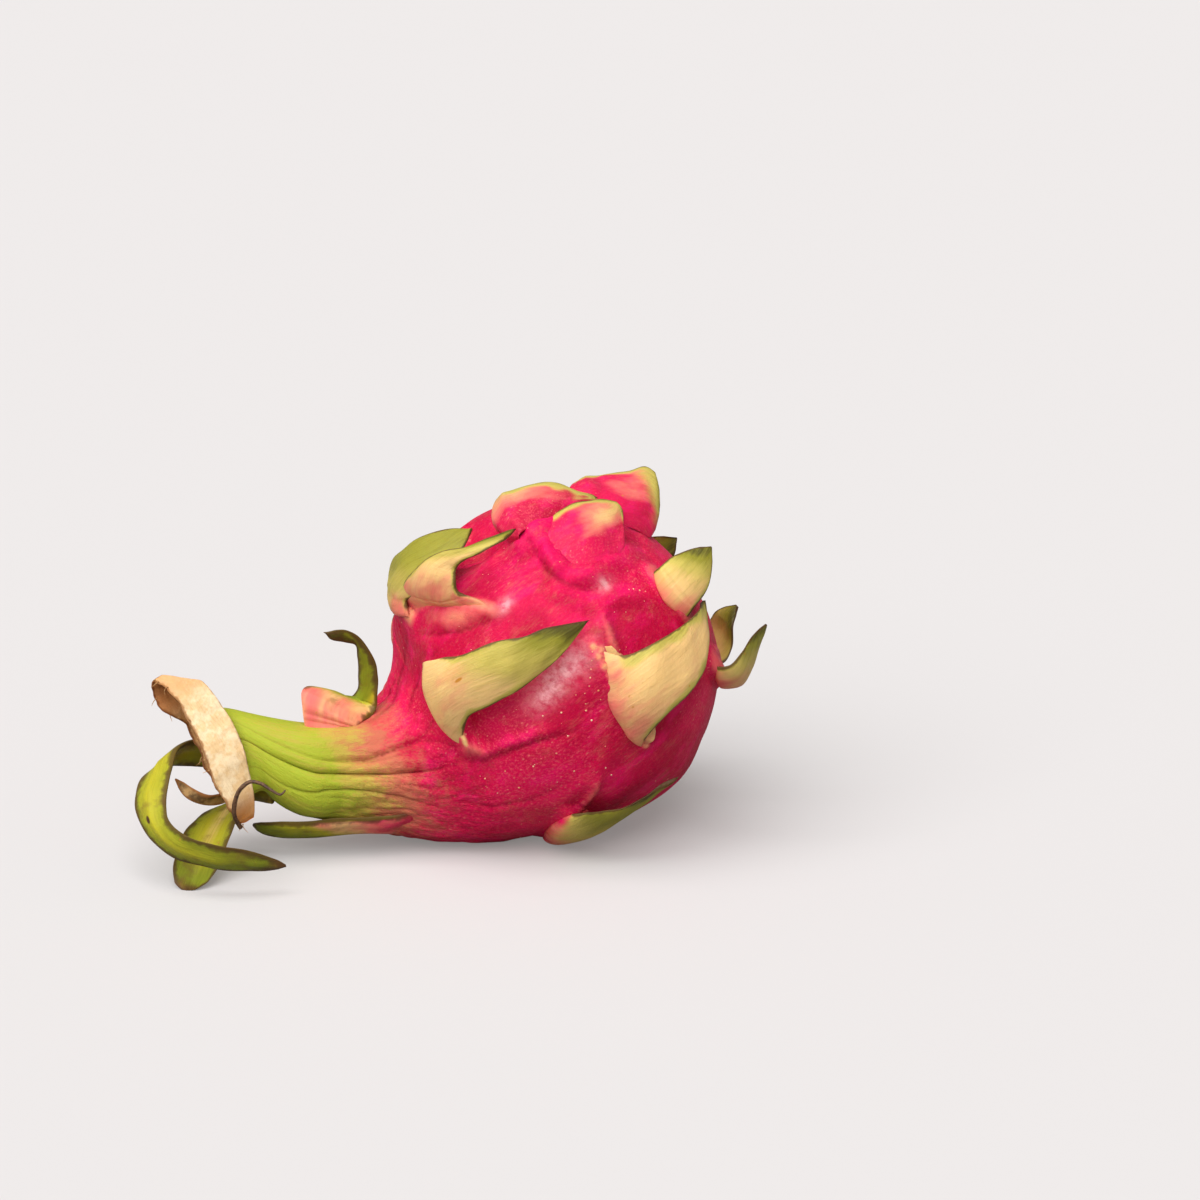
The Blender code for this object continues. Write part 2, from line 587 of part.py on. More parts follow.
def build_collar():
    """The flattened papery ring, with a wavy free edge."""
    down, out, back = collar_axes()
    angle = np.arange(COLLAR_COLUMNS) * 2 * math.pi / COLLAR_COLUMNS
    outer = ring_lens(angle, COLLAR_LENGTH, COLLAR_DEPTH)
    inner = ring_lens(angle, COLLAR_LENGTH - 5 * COLLAR_WALL, COLLAR_DEPTH - 2 * COLLAR_WALL)
    along, at_neck, rim = zip(*COLLAR_EDGES)
    ragged = 0.4 * np.sin(5 * angle + 0.6) + 0.3 * np.sin(11 * angle)
    near = curve(-outer[0], along, at_neck)
    far = curve(-outer[0], along, rim) + ragged - COLLAR_BACK * smooth(-np.sin(angle), 0, 0.7)
    ring = []
    for (width, across), depth in ((outer, near), (outer, far), (inner, far), (inner, near)):
        ring.append(np.array(COLLAR_CENTRE) - down * width[:, None] - back * across[:, None] + out * depth[:, None])
    points = np.stack(ring, 1).reshape(-1, 3)
    faces = []
    for i in range(COLLAR_COLUMNS):
        k = (i + 1) % COLLAR_COLUMNS
        for j in range(4):
            m = (j + 1) % 4
            faces.append((i * 4 + j, i * 4 + m, k * 4 + m, k * 4 + j))
    collar = mesh_object("dried_collar", points, faces)
    finish(collar, material("dried_paper", (0.62, 0.42, 0.20), 0.75))
    return collar


def build_style():
    """The dark thread, a tube through the points of its route."""
    line = bpy.data.curves.new("dried_style", "CURVE")
    line.dimensions = "3D"
    line.bevel_depth = STYLE_RADIUS * MM
    line.bevel_resolution = 2
    line.use_fill_caps = True
    route = (spline(STYLE_ROUTE, 22) - np.array(ORIGIN)) * MM
    path = line.splines.new("POLY")
    path.points.add(len(route) - 1)
    for point, place in zip(path.points, route):
        point.co = (*place, 1)
    style = bpy.data.objects.new("dried_style", line)
    bpy.context.scene.collection.objects.link(style)
    line.materials.append(material("dried_thread", (0.06, 0.03, 0.02), 0.6))
    return style


def main():
    for item in list(bpy.data.objects):
        bpy.data.objects.remove(item)
    build_fruit()
    build_collar()
    build_style()


main()
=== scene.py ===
"""A whole dragon fruit lying on its side, laid out as a Blender add-on.

The fruit is described by a bent spine that runs from the stem end to the neck.
A place on it is given by s (mm along the spine, towards the neck), phi (degrees round it,
0 on top, 90 on the front side, 180 underneath) and h (mm above the plain skin).
Lengths are in millimetres, in the fruit's own frame, until a mesh is made.
"""
import math
import random

import bpy
import numpy as np
from bpy.props import FloatProperty, FloatVectorProperty, IntProperty, PointerProperty
from bpy.types import Operator, Panel, PropertyGroup
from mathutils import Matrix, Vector


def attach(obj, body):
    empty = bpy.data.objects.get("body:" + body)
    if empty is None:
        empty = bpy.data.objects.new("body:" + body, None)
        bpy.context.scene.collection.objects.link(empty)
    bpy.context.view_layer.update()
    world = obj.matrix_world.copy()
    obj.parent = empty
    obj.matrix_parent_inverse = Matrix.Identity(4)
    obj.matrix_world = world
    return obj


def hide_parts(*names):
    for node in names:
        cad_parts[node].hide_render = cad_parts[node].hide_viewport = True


bl_info = {
    "name": "Dragon fruit",
    "version": (1, 0, 0),
    "blender": (4, 5, 0),
    "location": "3D View > Sidebar > Pitaya",
    "description": "Grows the skin, scales, neck leaves and dried flower of a dragon fruit",
    "category": "Mesh",
}

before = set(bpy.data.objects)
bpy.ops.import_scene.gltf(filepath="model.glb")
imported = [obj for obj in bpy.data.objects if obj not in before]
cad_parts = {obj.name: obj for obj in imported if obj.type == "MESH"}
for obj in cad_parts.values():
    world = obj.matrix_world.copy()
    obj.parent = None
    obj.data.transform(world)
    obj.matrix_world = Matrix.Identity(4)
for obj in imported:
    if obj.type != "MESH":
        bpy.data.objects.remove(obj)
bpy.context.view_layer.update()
MM = 0.001

# The photograph's camera, in millimetres of the model's place
CAMERA_AT, LOOK_AT = (36.59, -754.59, 264.63), (36.59, 4.63, 61.2)
LENS, SENSOR, PHOTO_WIDTH = 90.0, 36.0, 1200

# Body and neck
BODY_CENTRE = (0.0, 0.0, 44.0)
BODY_PITCH, BODY_YAW = 38.0, 16.0        # how far the neck side points down and to the front
NECK_PITCH, NECK_YAW = -5.5, 22.0
BEND_START, BEND_END = 18.0, 62.0        # where along s the spine turns from body to neck
STEM_END, NECK_END = -42.0, 92.0
PROFILE = [                              # (s, radius)
    (-42, 2), (-41.3, 8), (-38, 19.5), (-31.5, 30), (-18, 39.8), (-4, 43.6), (9, 42.4), (21, 37.6),
    (33, 29.6), (44, 22.0), (55, 16.4), (68, 12.9), (84, 11.5), (98, 11.0),
]
GROUND = -1.0
ORIGIN = (-24.54, -0.29, GROUND)         # the place in the fruit's frame that is (0, 0, 0) in the model's

# Creases of the neck: phi at each s of CREASE_S, front ones first
CREASE_S = (42, 54, 64, 72, 80, 88, 96)
CREASES = [
    (60, 64, 68, 64, 55, 43, 28),
    (78, 79, 80, 79, 77, 78, 82),
    (112, 100, 97, 99, 112, 118, 120),
    (168, 165, 165, 165, 165, 165, 165),
    (225, 228, 230, 230, 230, 230, 230),
    (295, 295, 292, 290, 290, 290, 290),
    (350, 350, 348, 345, 342, 340, 338),
]
CREASE_WEIGHTS = (0.3, 1.0, 0.45, 1.0, 1.0, 1.0, 1.0)
LOBE_DEPTH = 0.09

# Dried collar: a flattened ring at the neck's end
COLLAR_CENTRE = (-88.3, -30.0, 30.4)
COLLAR_LENGTH, COLLAR_DEPTH, COLLAR_WALL = 45.0, 13.6, 0.8
COLLAR_DOWN = (0.535, -0.233, -0.814)
COLLAR_OUT = (-0.758, -0.555, -0.342)
COLLAR_EDGES = [                         # (along its long way, edge at the neck, free rim)
    (-22.5, -0.8, 2.3), (-19, -3.6, 0.9), (-14.5, -7.8, 0.9), (-5, -8.1, 2.0), (3, -7.2, 3.4), (10, -5.6, 4.2),
    (16, -3.9, 4.6), (22.5, -1.4, 2.8),
]
COLLAR_BACK = 3.2
PLUG_SHIFT, PLUG_LENGTH, PLUG_DEPTH = 3.9, 25.0, 8.4
PLUG_START, PLUG_END = -9.0, -3.0

# Dried style
STYLE_ROUTE = [
    (-78.6, -38.6, 12.2), (-79.8, -40.2, 15.6), (-79.6, -41.0, 19.6), (-78.0, -41.2, 23.4),
    (-75.2, -41.4, 25.4), (-72.8, -41.8, 25.0), (-70.2, -42.6, 23.6), (-67.6, -43.0, 22.6),
    (-66.6, -42.8, 23.6),
]

# Scales, from the fold to the tip: s, phi, h of the far margin, then of the near one
SCALES = {
    "front_long": [
        (32.5, 34, 7, 34.3, 69, 2.5), (22.1, 44, 10.3, 33, 65.5, 5.5), (15.7, 50, 11.6, 25.9, 62.6, 7),
        (10.1, 53, 12.3, 19.8, 65, 7.5), (3.2, 57, 11.2, 13, 66.8, 7), (-3.8, 60, 10, 5, 67.7, 6.8),
        (-8.8, 63, 8.3, -3.5, 67, 6.8), (-12.3, 65, 7, -12.2, 65, 7),
    ],
    "upper_hook": [
        (20.4, 5, -3, 3.8, 43, -3), (19.6, 7, 0.5, 3.9, 41, 0.5), (18.9, 5.7, 2.5, 4.4, 37.4, 2),
        (17.8, 5.9, 5.5, 6.2, 33.4, 4), (15.4, 11.1, 8, 7.2, 30.9, 6), (11.8, 16.2, 10, 5.9, 29.6, 8.5),
        (6.9, 20.2, 12, 3.7, 28.4, 10), (2.6, 24.4, 13, 0.8, 30, 11.5), (-1.4, 27.8, 12.5, -2.8, 31.8, 11.5),
        (-6.4, 29, 11.5, -7.5, 32.4, 10.8), (-13.5, 28.6, 9, -13.9, 29.2, 8.7),
    ],
    "upper_back": [
        (20.3, -15, 2.2, 20.7, 11, 1.8), (17.8, -10, 5.6, 18.7, 10, 4.2), (14.6, -6, 8.1, 16.2, 15, 5),
        (10.4, 0, 9.2, 12.6, 20, 6.5), (5.5, 5, 9.3, 7, 22, 5.5), (-0.7, 9, 7.3, 1, 19, 4.5),
        (-6, 13, 4.9, -5.8, 14, 4.7),
    ],
    "top_stout": [
        (-15.4, 2, 3, -13, 28, 1), (-16.6, 2, 5, -13.2, 28, 4.2), (-20.5, 5, 6.6, -16.6, 27, 5.2),
        (-27.9, 8, 8.7, -21.6, 26, 5), (-32.6, 11, 7.7, -27.8, 23, 4.8), (-35.7, 13, 6.5, -35.5, 16, 6.2),
    ],
    "upper_flap": [
        (-20.8, 24, 2.2, -12.3, 50, 1), (-28.2, 23, 6.7, -19.5, 52, 1.2), (-34.1, 21, 8.2, -25.9, 52, 1.2),
        (-37.7, 20, 10.1, -32, 48, 2), (-39.5, 22, 11.8, -36.1, 36, 5.6),
    ],
    "top_cup": [
        (-34.1, -9, 4.2, -32, 5, 0.8), (-36, -8, 9, -31.8, 14, 1.2), (-41, -14, 20, -33.2, 22, 1.5),
        (-47, -19, 24, -35.6, 30, 1.5), (-52, -25, 21.5, -38.5, 34.4, 1.2), (-53.2, -22, 16.5, -40.2, 39.6, 0.8),
    ],
    "right_flap": [
        (-9, 72, 1, -3.5, 113, -0.3), (-12.3, 79, 4, -3.5, 109, 1.5), (-14.9, 81, 7, -7.7, 104, 5),
        (-19.5, 82, 9, -12.3, 102, 8), (-25.8, 85, 10, -19, 102, 10), (-33, 89, 10, -29, 103, 10),
        (-39, 96, 9.5, -39, 97, 9.5),
    ],
    "low_front": [
        (22.2, 123, 2, 28, 160, 0.8), (20.6, 119.5, 3.6, 26.6, 152, 2.4), (19, 120, 4.2, 23.2, 148, 3),
        (16.1, 122.2, 4.4, 19.3, 143, 3.2), (11.6, 124.2, 4.6, 13.4, 135, 3.6), (6.3, 125.4, 4.8, 6.5, 131.2, 4.2),
        (0.5, 126.2, 5, 0.5, 128.6, 4.8), (-4.5, 127.8, 5.1, -4.5, 128.4, 5.1),
    ],
    "stem_upper": [
        (-35, 318, 3, -34, 352, 3), (-37, 321, 8, -36.5, 354, 8), (-41, 326, 15, -41, 356, 15),
        (-45, 332, 19, -45, 352, 19), (-49, 342, 19, -49, 345, 19),
    ],
    "stem_front": [
        (-33.5, 66, 3, -32.5, 92, 3), (-35.5, 66, 8, -35, 90, 8), (-39.5, 66, 15.5, -39.5, 90, 15.5),
        (-43.5, 68, 27, -43.5, 87, 27), (-49, 74, 25, -49, 77, 25),
    ],
    "stem_low": [
        (-31, 124, 3, -31, 150, 3), (-33, 124, 7.5, -33, 150, 7.5), (-38, 126, 15, -38, 148, 15),
        (-43, 128, 30, -43, 144, 30), (-48, 134, 28, -48, 138, 28),
    ],
    "stem_under": [
        (-33, 186, 3, -33, 214, 3), (-35, 186, 7.5, -35, 214, 7.5), (-39, 188, 15, -39, 212, 15),
        (-43, 191, 26, -43, 209, 26), (-48, 198, 25, -48, 201, 25),
    ],
    "stem_back": [
        (-32, 246, 3, -32.5, 272, 3), (-34, 245, 7.5, -34.5, 272, 7.5), (-38.5, 245, 15, -38.5, 270, 15),
        (-43, 248, 28.5, -43, 266, 28.5), (-48.5, 255, 27, -48.5, 258, 27),
    ],
    "under_foot": [
        (22, 190, 1.5, 22, 217, 1.5), (21.5, 190, 4.5, 21.5, 217, 4.5), (14, 190, 6, 14, 214, 6),
        (6, 191, 7, 6, 209, 7), (-1, 194, 7.5, -1, 204, 7.5), (-7, 198, 7.5, -7, 199, 7.5),
    ],
    "neck_under": [
        (43.3, 140, -3, 44.5, 112, -3), (45.6, 146, -2.6, 46.6, 114, -2.4), (48.8, 152, -1.4, 49.6, 117, -1.4),
        (52.8, 156, 0.2, 53.9, 121, -0.2), (59.2, 162, 2, 60.1, 127, 0.8), (65.9, 170, 4.3, 67.5, 136, 1.4),
        (72.7, 178, 6, 74.1, 148, 1.8), (79.1, 186, 7, 79.6, 160, 1.8), (83.2, 196, 7.8, 83.9, 174, 2),
        (85.1, 206, 8.2, 86.4, 190, 3.4),
    ],
    "neck_top": [
        (75.2, 14, -3, 64.7, 30, -3), (76, 12, 0.2, 64.2, 28, -0.2), (76.9, 8, 4.7, 63.8, 26, 0.6),
        (77.3, 2, 8.7, 63.2, 24, 1.3), (74.9, -8, 9.2, 61.3, 20, 1), (70.8, -16, 8, 59.3, 16, 0.6),
        (65.8, -20, 5.5, 58, 13, 1), (61.9, -18, 4.2, 57.2, 11, 2.8), (60.9, -10, 5.8, 57.4, 11, 6.9),
        (61.8, -2, 10.5, 58.3, 11, 11.2), (63.3, 4, 17.1, 60.6, 10, 17.3), (64.5, 6, 20.5, 64, 9, 22.8),
        (67.9, 8, 22.4, 67.4, 9, 25.7), (72.2, 9, 24.1, 70.9, 9, 26.5), (74.1, 9, 26.1, 74, 9, 26.2),
    ],
}
NECK_LEAVES = ("neck_under", "neck_top")
ROOTED = NECK_LEAVES + ("upper_hook",)   # their rows start at the sunk root, the others at the fold
# Two leaves that leave the neck's end behind the collar: x, y, z, half width, and the way their width lies
LEAF_LONG = [
    (-71, -22, 21, 3.5), (-77, -15, 20, 4.0), (-84, -12, 21.4, 4.3), (-91.4, -16, 24.8, 4.4), (-97.6, -25, 26.4, 4.5),
    (-100, -34.6, 24.4, 4.6), (-100.4, -43, 20.0, 4.6), (-97.6, -49, 15.6, 4.6), (-91.6, -53, 12.2, 4.9),
    (-83.6, -54, 10.0, 4.9), (-75, -53, 8.5, 4.0), (-66.2, -50, 6.3, 0.8),
]
LEAF_LONG_SIDE = [
    (0.0, -0.2, 1.0), (0.0, -0.3, 1.0), (0.1, -0.4, 0.9), (0.3, -0.3, 0.9), (0.5, -0.4, 0.75), (0.85, -0.4, 0.3),
    (0.9, -0.3, 0.3), (0.6, -0.4, 0.7), (0.2, -0.5, 0.85), (0.1, -0.5, 0.85), (0.1, -0.5, 0.85), (0.1, -0.4, 0.9),
]
LEAF_SHORT = [
    (-71, -24, 17.5, 4.0), (-77, -18.5, 16.8, 5.0), (-83.2, -21.5, 14.6, 6.2), (-86.6, -30, 11.2, 6.4),
    (-88.4, -38, 6.9, 6.3), (-89.8, -44, 2.8, 5.6), (-90.8, -48.4, -1.0, 3.4),
]
LEAF_SHORT_SIDE = [
    (0.3, 0.2, 0.9), (0.5, 0.0, 0.8), (0.8, -0.1, 0.6), (0.95, -0.2, 0.25), (1.0, -0.1, 0.1), (1.0, 0.0, 0.0),
    (1.0, 0.0, 0.0),
]

# Scales of the sides that the front doesn't show follow the fruit's own spiral
SPIRAL_TURN, SPIRAL_STEP, SPIRAL_START = 137.5, 4.1, 52.0
SPIRAL_COUNT, SPIRAL_PHI, SPIRAL_SEED = 20, 193.0, 4
NEIGHBOUR_GAP = 24.0
HIDDEN_FROM, HIDDEN_TO = 196.0, 311.0
SPIRAL_SCALE = [                         # s from the fold, h, half width
    (0, 2.5, 11.5), (0, 7, 11.3), (-5, 10, 10.5), (-12, 10.5, 8.6), (-20, 9.5, 5.8), (-27, 8, 2.6), (-32, 6.5, 0.6),
]

# Colour of each scale: where along it the green starts and is full, its green margin in mm, how pink it is
# where it folds and at its tip, how much of the margin's colour its near side has, and how dark its tip is.
# A scale whose near side has none is joined to the flesh along that side.
TINTS = {
    "front_long": (0.20, 0.98, 2.0, 0.1, 0.0, 1, 1.0), "upper_hook": (0.40, 0.95, 1.0, 0.5, 0.0, 1, 0.7),
    "upper_back": (0.05, 0.66, 1.6, 0.35, 0.0, 1, 0.15), "top_stout": (0.6, 1.7, 4.5, 0.4, 1.0, 0, 0.0),
    "upper_flap": (0.7, 1.7, 3.0, 1.1, 0.35, 0, 0.3), "top_cup": (0.7, 1.4, 3.0, 1.0, 0.7, 0, 0.5),
    "right_flap": (0.65, 1.3, 2.6, 0.35, 0.0, 1, 0.5), "low_front": (0.12, 0.6, 1.5, 0.9, 0.1, 1, 1.0),
    "neck_under": (0.35, 0.85, 0.8, 0.9, 0.35, 1, 0.0), "neck_top": (0.18, 0.42, 1.0, 0.42, 0.0, 1, 1.0),
}
TINT_HIDDEN = (0.25, 1.0, 1.2, 0.6, 0.05, 1, 0.7)
TINT_LEAF = (-1.0, 0.8, 0.8, 0.0, 0.0, 1, 0.5)
# How far the middle of a fold bows out over its ends, in mm
BOW = {"front_long": 2.6, "right_flap": 2.2, "low_front": 1.0, "upper_hook": 0.0}
BOW_HIDDEN = 1.2
# A spot on a blade: mm across from its middle, share of the way along it, and radii in mm
SPOTS = {"front_long": (-2.8, 0.36, 0.55, 1.1), "leaf_long": (-1.0, 0.62, 0.8, 1.2)}

# Skin relief
ROOT_ROWS = ((-5.5, -2.0, 0.72), (-2.2, 1.8, 0.88))    # s from the fold, h, share of the fold's width
ROOT_THICKNESS, TIP_THICKNESS, TIP_HALF = 3.2, 0.9, 0.35
TURN_WEIGHT = 6.0
BEND_ROOM = 1.1
CUP = 0.17
# Flesh that carries a scale: share of the way from its fold to the next row, lift, reach in mm, reach per mm
# of height; and for which distances from the fold it is peach
FLESH = ((0.0, 1.2, 2.5, 0.9), (0.35, 0.0, 1.5, 0.75))
FLESH_COUNT, FLESH_REACH, STEM_REACH, JOINED_LIFT = 13, 7.5, 5.0, 0.6
PEACH_REACH = {"upper_hook": (0.5, 4.0), "front_long": (0.4, 1.8), "upper_back": (1.0, 3.5), "right_flap": (0.4, 2.0)}
WAVE_HEIGHT = 0.5

# Long folds of the skin as the photograph shows them: height (a groove below 0), half width in mm, how peach
# it is, and its pixels
FOLD_LINES = [
    (2.6, 2.2, 0.5, [(448, 728), (458, 740), (468, 749), (480, 753), (494, 750)]),
    (1.3, 1.6, 0, [(486, 752), (500, 747), (525, 738), (552, 729)]),
    (-0.6, 1.0, 0, [(470, 763), (500, 755), (525, 746), (552, 737), (580, 729)]),
    (1.4, 2.6, 0.55, [(420, 618), (445, 620), (470, 618), (497, 612)]),
    (-0.5, 1.2, 0, [(408, 632), (440, 634), (470, 628), (503, 614)]),
    (-0.8, 1.5, 0, [(408, 634), (404, 668), (392, 704), (366, 727)]),
    (-0.7, 1.2, 0, [(437, 648), (420, 669), (412, 694), (408, 716)]),
    (-0.7, 0.9, 0, [(405, 750), (425, 735), (438, 712), (446, 690)]),
    (-1.0, 0.9, 0, [(334, 760), (366, 760), (400, 748), (420, 741), (438, 741), (460, 748)]),
    (1.4, 1.3, 0.5, [(575, 812), (588, 795), (599, 776)]),
    (0.7, 2.6, 0, [(617, 748), (590, 779), (548, 810)]),
    (1.2, 2.6, 0, [(607, 600), (597, 640), (600, 680), (617, 712), (645, 742)]),
    (1.6, 1.2, 0.6, [(617, 658), (612, 640), (606, 622), (603, 612)]),
    (2.4, 3.4, 0, [(541, 530), (549, 550), (564, 568), (588, 576), (612, 576)]),
    (1.2, 1.8, 0, [(575, 552), (600, 558), (630, 568), (652, 578)]),
    (-0.7, 1.3, 0, [(531, 536), (538, 556), (552, 576), (568, 587), (600, 592)]),
    (1.0, 2.4, 0, [(551, 600), (593, 602), (641, 596), (666, 604)]),
    (-1.2, 2.2, 0, [(634, 526), (640, 546), (656, 566), (672, 590)]),
    (-0.4, 0.8, 0, [(452, 800), (490, 806), (530, 800), (562, 783)]),
    (-7.5, 9.0, 0, [(444, 552), (464, 540), (486, 533), (503, 535)]),
    (3.2, 7.0, 0, [(376, 688), (385, 668), (395, 648), (405, 630)]),
]
GROOVE_WIDTH = 2.0                       # a groove wider than this isn't darker than the skin
# Pale rubbed spots: pixel, and length and width in mm
PALE_SEEN = [((565, 672), 9, 3.6), ((503, 606), 2.4, 1.7), ((605, 585), 2.0, 1.5), ((548, 692), 6, 3)]
PALE_HIDDEN = [(-36, 205, 6, 5), (2, 250, 9, 5), (12, 300, 5, 3)]
# Small cream flecks of the skin, as pixels, and how many more are scattered
FLECKS_SEEN = [
    (592, 652), (591, 660), (590, 668), (590, 677), (588, 686), (586, 694), (585, 703), (586, 711), (592, 719),
    (629, 589), (634, 590), (639, 591), (645, 592), (574, 771), (561, 713), (604, 767), (556, 752), (532, 765),
    (611, 774), (568, 736), (600, 700), (597, 689), (543, 716), (505, 771), (519, 786), (484, 778),
]
FLECKS_MORE, FLECK_SEED, LOWEST_FLECK = 120, 12, 1.2

# A dried strip behind the collar: x, y, z, half width, and the way its width lies
STRIP = [
    (-80, -27, 17.5, 1.2), (-84.5, -30, 17, 1.9), (-88, -32.4, 17.6, 1.7), (-92, -33.5, 19.8, 1.5),
    (-95.6, -32.5, 23.2, 0.5),
]
STRIP_SIDE = [(0.3, -0.3, 0.9), (0.3, -0.4, 0.9), (0.5, -0.3, 0.8), (0.6, 0.1, 0.7), (0.7, 0.2, 0.6)]
FIBRES, FIBRE_SEED = 18, 8


def unit(v):
    return v / np.linalg.norm(v, axis=-1, keepdims=True)


def smooth(x, start, end):
    """0 before start, 1 after end, with a soft turn between them."""
    t = np.clip((np.asarray(x, float) - start) / (end - start), 0, 1)
    return t * t * (3 - 2 * t)


def curve(x, xs, ys):
    """A smooth line through the points that doesn't swing past them."""
    xs, ys = np.asarray(xs, float), np.asarray(ys, float)
    step = np.diff(xs)
    slope = np.diff(ys) / step
    bend = np.zeros(len(xs))
    bend[0], bend[-1] = slope[0], slope[-1]
    for i in range(1, len(xs) - 1):
        if slope[i - 1] * slope[i] > 0:
            a = 2 * step[i] + step[i - 1]
            b = step[i] + 2 * step[i - 1]
            bend[i] = (a + b) / (a / slope[i - 1] + b / slope[i])
    x = np.clip(x, xs[0], xs[-1])
    i = np.clip(np.searchsorted(xs, x) - 1, 0, len(step) - 1)
    t = (x - xs[i]) / step[i]
    near = ys[i] * (1 + 2 * t) * (1 - t) ** 2 + step[i] * bend[i] * t * (1 - t) ** 2
    far = ys[i + 1] * t * t * (3 - 2 * t) + step[i] * bend[i + 1] * t * t * (t - 1)
    return near + far


LATTICE = 32


def noise(points, size, seed):
    """Soft noise from -1 to 1 with bumps about size mm wide, the same for the same seed."""
    lattice = np.random.default_rng(seed).random((LATTICE, LATTICE, LATTICE)) * 2 - 1
    q = np.asarray(points, float) / size
    low = np.floor(q).astype(int)
    f = q - low
    f = f * f * (3 - 2 * f)
    total = np.zeros(q.shape[:-1])
    for dx in (0, 1):
        for dy in (0, 1):
            for dz in (0, 1):
                corner = (low + (dx, dy, dz)) % LATTICE
                share = np.abs(1 - dx - f[..., 0]) * np.abs(1 - dy - f[..., 1]) * np.abs(1 - dz - f[..., 2])
                total += share * lattice[corner[..., 0], corner[..., 1], corner[..., 2]]
    return total


class Spine:
    """The fruit's bent middle line, with the up and front directions along it."""

    STEP = 0.5

    def __init__(self):
        s = np.arange(-60, 125.01, self.STEP)
        turn = smooth(s, BEND_START, BEND_END)
        pitch = np.radians(BODY_PITCH + (NECK_PITCH - BODY_PITCH) * turn)
        yaw = np.radians(BODY_YAW + (NECK_YAW - BODY_YAW) * turn)
        along = -np.stack([np.cos(pitch) * np.cos(yaw), np.cos(pitch) * np.sin(yaw), np.sin(pitch)], 1)
        place = np.zeros_like(along)
        place[1:] = np.cumsum((along[1:] + along[:-1]) / 2 * self.STEP, 0)
        place += np.array(BODY_CENTRE) - place[np.argmin(abs(s))]
        up = unit(np.array([0, 0, 1.0]) - along * along[:, 2:3])
        self.s, self.place, self.along, self.up = s, place, along, up
        self.front = np.cross(up, along)

    def at(self, s):
        rows = (self.place, self.along, self.up, self.front)
        return [np.stack([np.interp(s, self.s, row[:, k]) for k in range(3)], -1) for row in rows]


SPINE = Spine()


def radius(s):
    return curve(s, [p[0] for p in PROFILE], [p[1] for p in PROFILE])


def on_skin(s, phi, h):
    """The place at s, phi (degrees) and h, without the relief of the skin."""
    place, _, up, front = SPINE.at(s)
    phi = np.radians(phi)[..., None]
    return place + (radius(s) + h)[..., None] * (np.cos(phi) * up + np.sin(phi) * front)


class PhotoView:
    """Finds the place on the plain skin that a pixel of the photograph shows."""

    def __init__(self):
        eye = np.array(CAMERA_AT) + np.array(ORIGIN)
        forward = unit(np.array(LOOK_AT) - np.array(CAMERA_AT))
        right = unit(np.cross(forward, (0, 0, 1.0)))
        up = np.cross(right, forward)
        self.s, self.phi = np.meshgrid(np.arange(STEM_END + 2, NECK_END, 0.5), np.arange(360.0), indexing="ij")
        ray = on_skin(self.s, self.phi, np.zeros_like(self.s)) - eye
        depth = ray @ forward
        scale = PHOTO_WIDTH * LENS / SENSOR / depth
        self.x = PHOTO_WIDTH / 2 + scale * (ray @ right)
        self.y = PHOTO_WIDTH / 2 - scale * (ray @ up)
        self.hidden = depth > (SPINE.at(self.s)[0] - eye) @ forward

    def seen_at(self, pixels):
        """s and phi of each pixel."""
        found = []
        for x, y in pixels:
            gap = (self.x - x) ** 2 + (self.y - y) ** 2 + 1e6 * self.hidden
            k = np.unravel_index(np.argmin(gap), gap.shape)
            found.append((self.s[k], self.phi[k]))
        return np.array(found).T


def fold_lines(s, phi):
    """Height of the skin's long folds, how near the bottom of a groove is, and how peach they are."""
    view = PhotoView()
    place = on_skin(s, phi, np.zeros_like(s))
    height, groove, peach = np.zeros_like(s), np.zeros_like(s), np.zeros_like(s)
    for rise, width, blush, pixels in FOLD_LINES:
        pixels = np.array(pixels, float)
        run = np.concatenate([[0], np.cumsum(np.linalg.norm(np.diff(pixels, axis=0), axis=1))])
        steps = np.arange(0, run[-1], 3.0)
        dense = np.stack([np.interp(steps, run, pixels[:, k]) for k in range(2)], 1)
        line_s, line_phi = view.seen_at(dense)
        line = on_skin(line_s, line_phi, np.zeros_like(line_s))
        room = 3 * width
        near = np.all((place > line.min(0) - room) & (place < line.max(0) + room), -1)
        gap = np.linalg.norm(place[near][:, None] - line[None], axis=-1)
        ends = np.sin(math.pi * (np.argmin(gap, 1) + 0.5) / len(line)) ** 0.5
        nearest = gap.min(1)
        height[near] += rise * ends * np.exp(-(nearest / width) ** 2)
        peach[near] = np.maximum(peach[near], blush * ends * np.exp(-(nearest / (1.2 * width)) ** 2))
        # Narrow grooves are marked for painted shade in the skin's colour
        if rise < 0 and width < GROOVE_WIDTH:
            groove[near] = np.maximum(groove[near], 0.8 * ends * np.exp(-(nearest / (0.5 * width)) ** 2))
    return height, groove, peach


def lobes(s, phi):
    """Height of the neck's lobes over its creases, as a share of the radius, and how near a crease is."""
    lines = np.stack([curve(s, CREASE_S, line) for line in CREASES])
    first = lines[0]
    turn = (phi - first) % 360
    edges = np.concatenate([(lines - first) % 360, np.full_like(first, 360)[None]])
    height, weight = np.zeros_like(turn), np.ones_like(turn)
    weights = CREASE_WEIGHTS + CREASE_WEIGHTS[:1]
    for k, (a, b) in enumerate(zip(edges[:-1], edges[1:])):
        t = np.clip((turn - a) / (b - a), 0, 1)
        here = (turn >= a) & (turn <= b)
        height = np.where(here, np.sin(math.pi * t) ** 0.6, height)
        weight = np.where(here, np.where(t < 0.5, weights[k], weights[k + 1]), weight)
    strength = smooth(s, 36, 56)
    crease = (1 - smooth(height, 0.0, 0.4)) * weight
    return (0.4 - (1 - height) * weight) * LOBE_DEPTH * strength, crease * strength


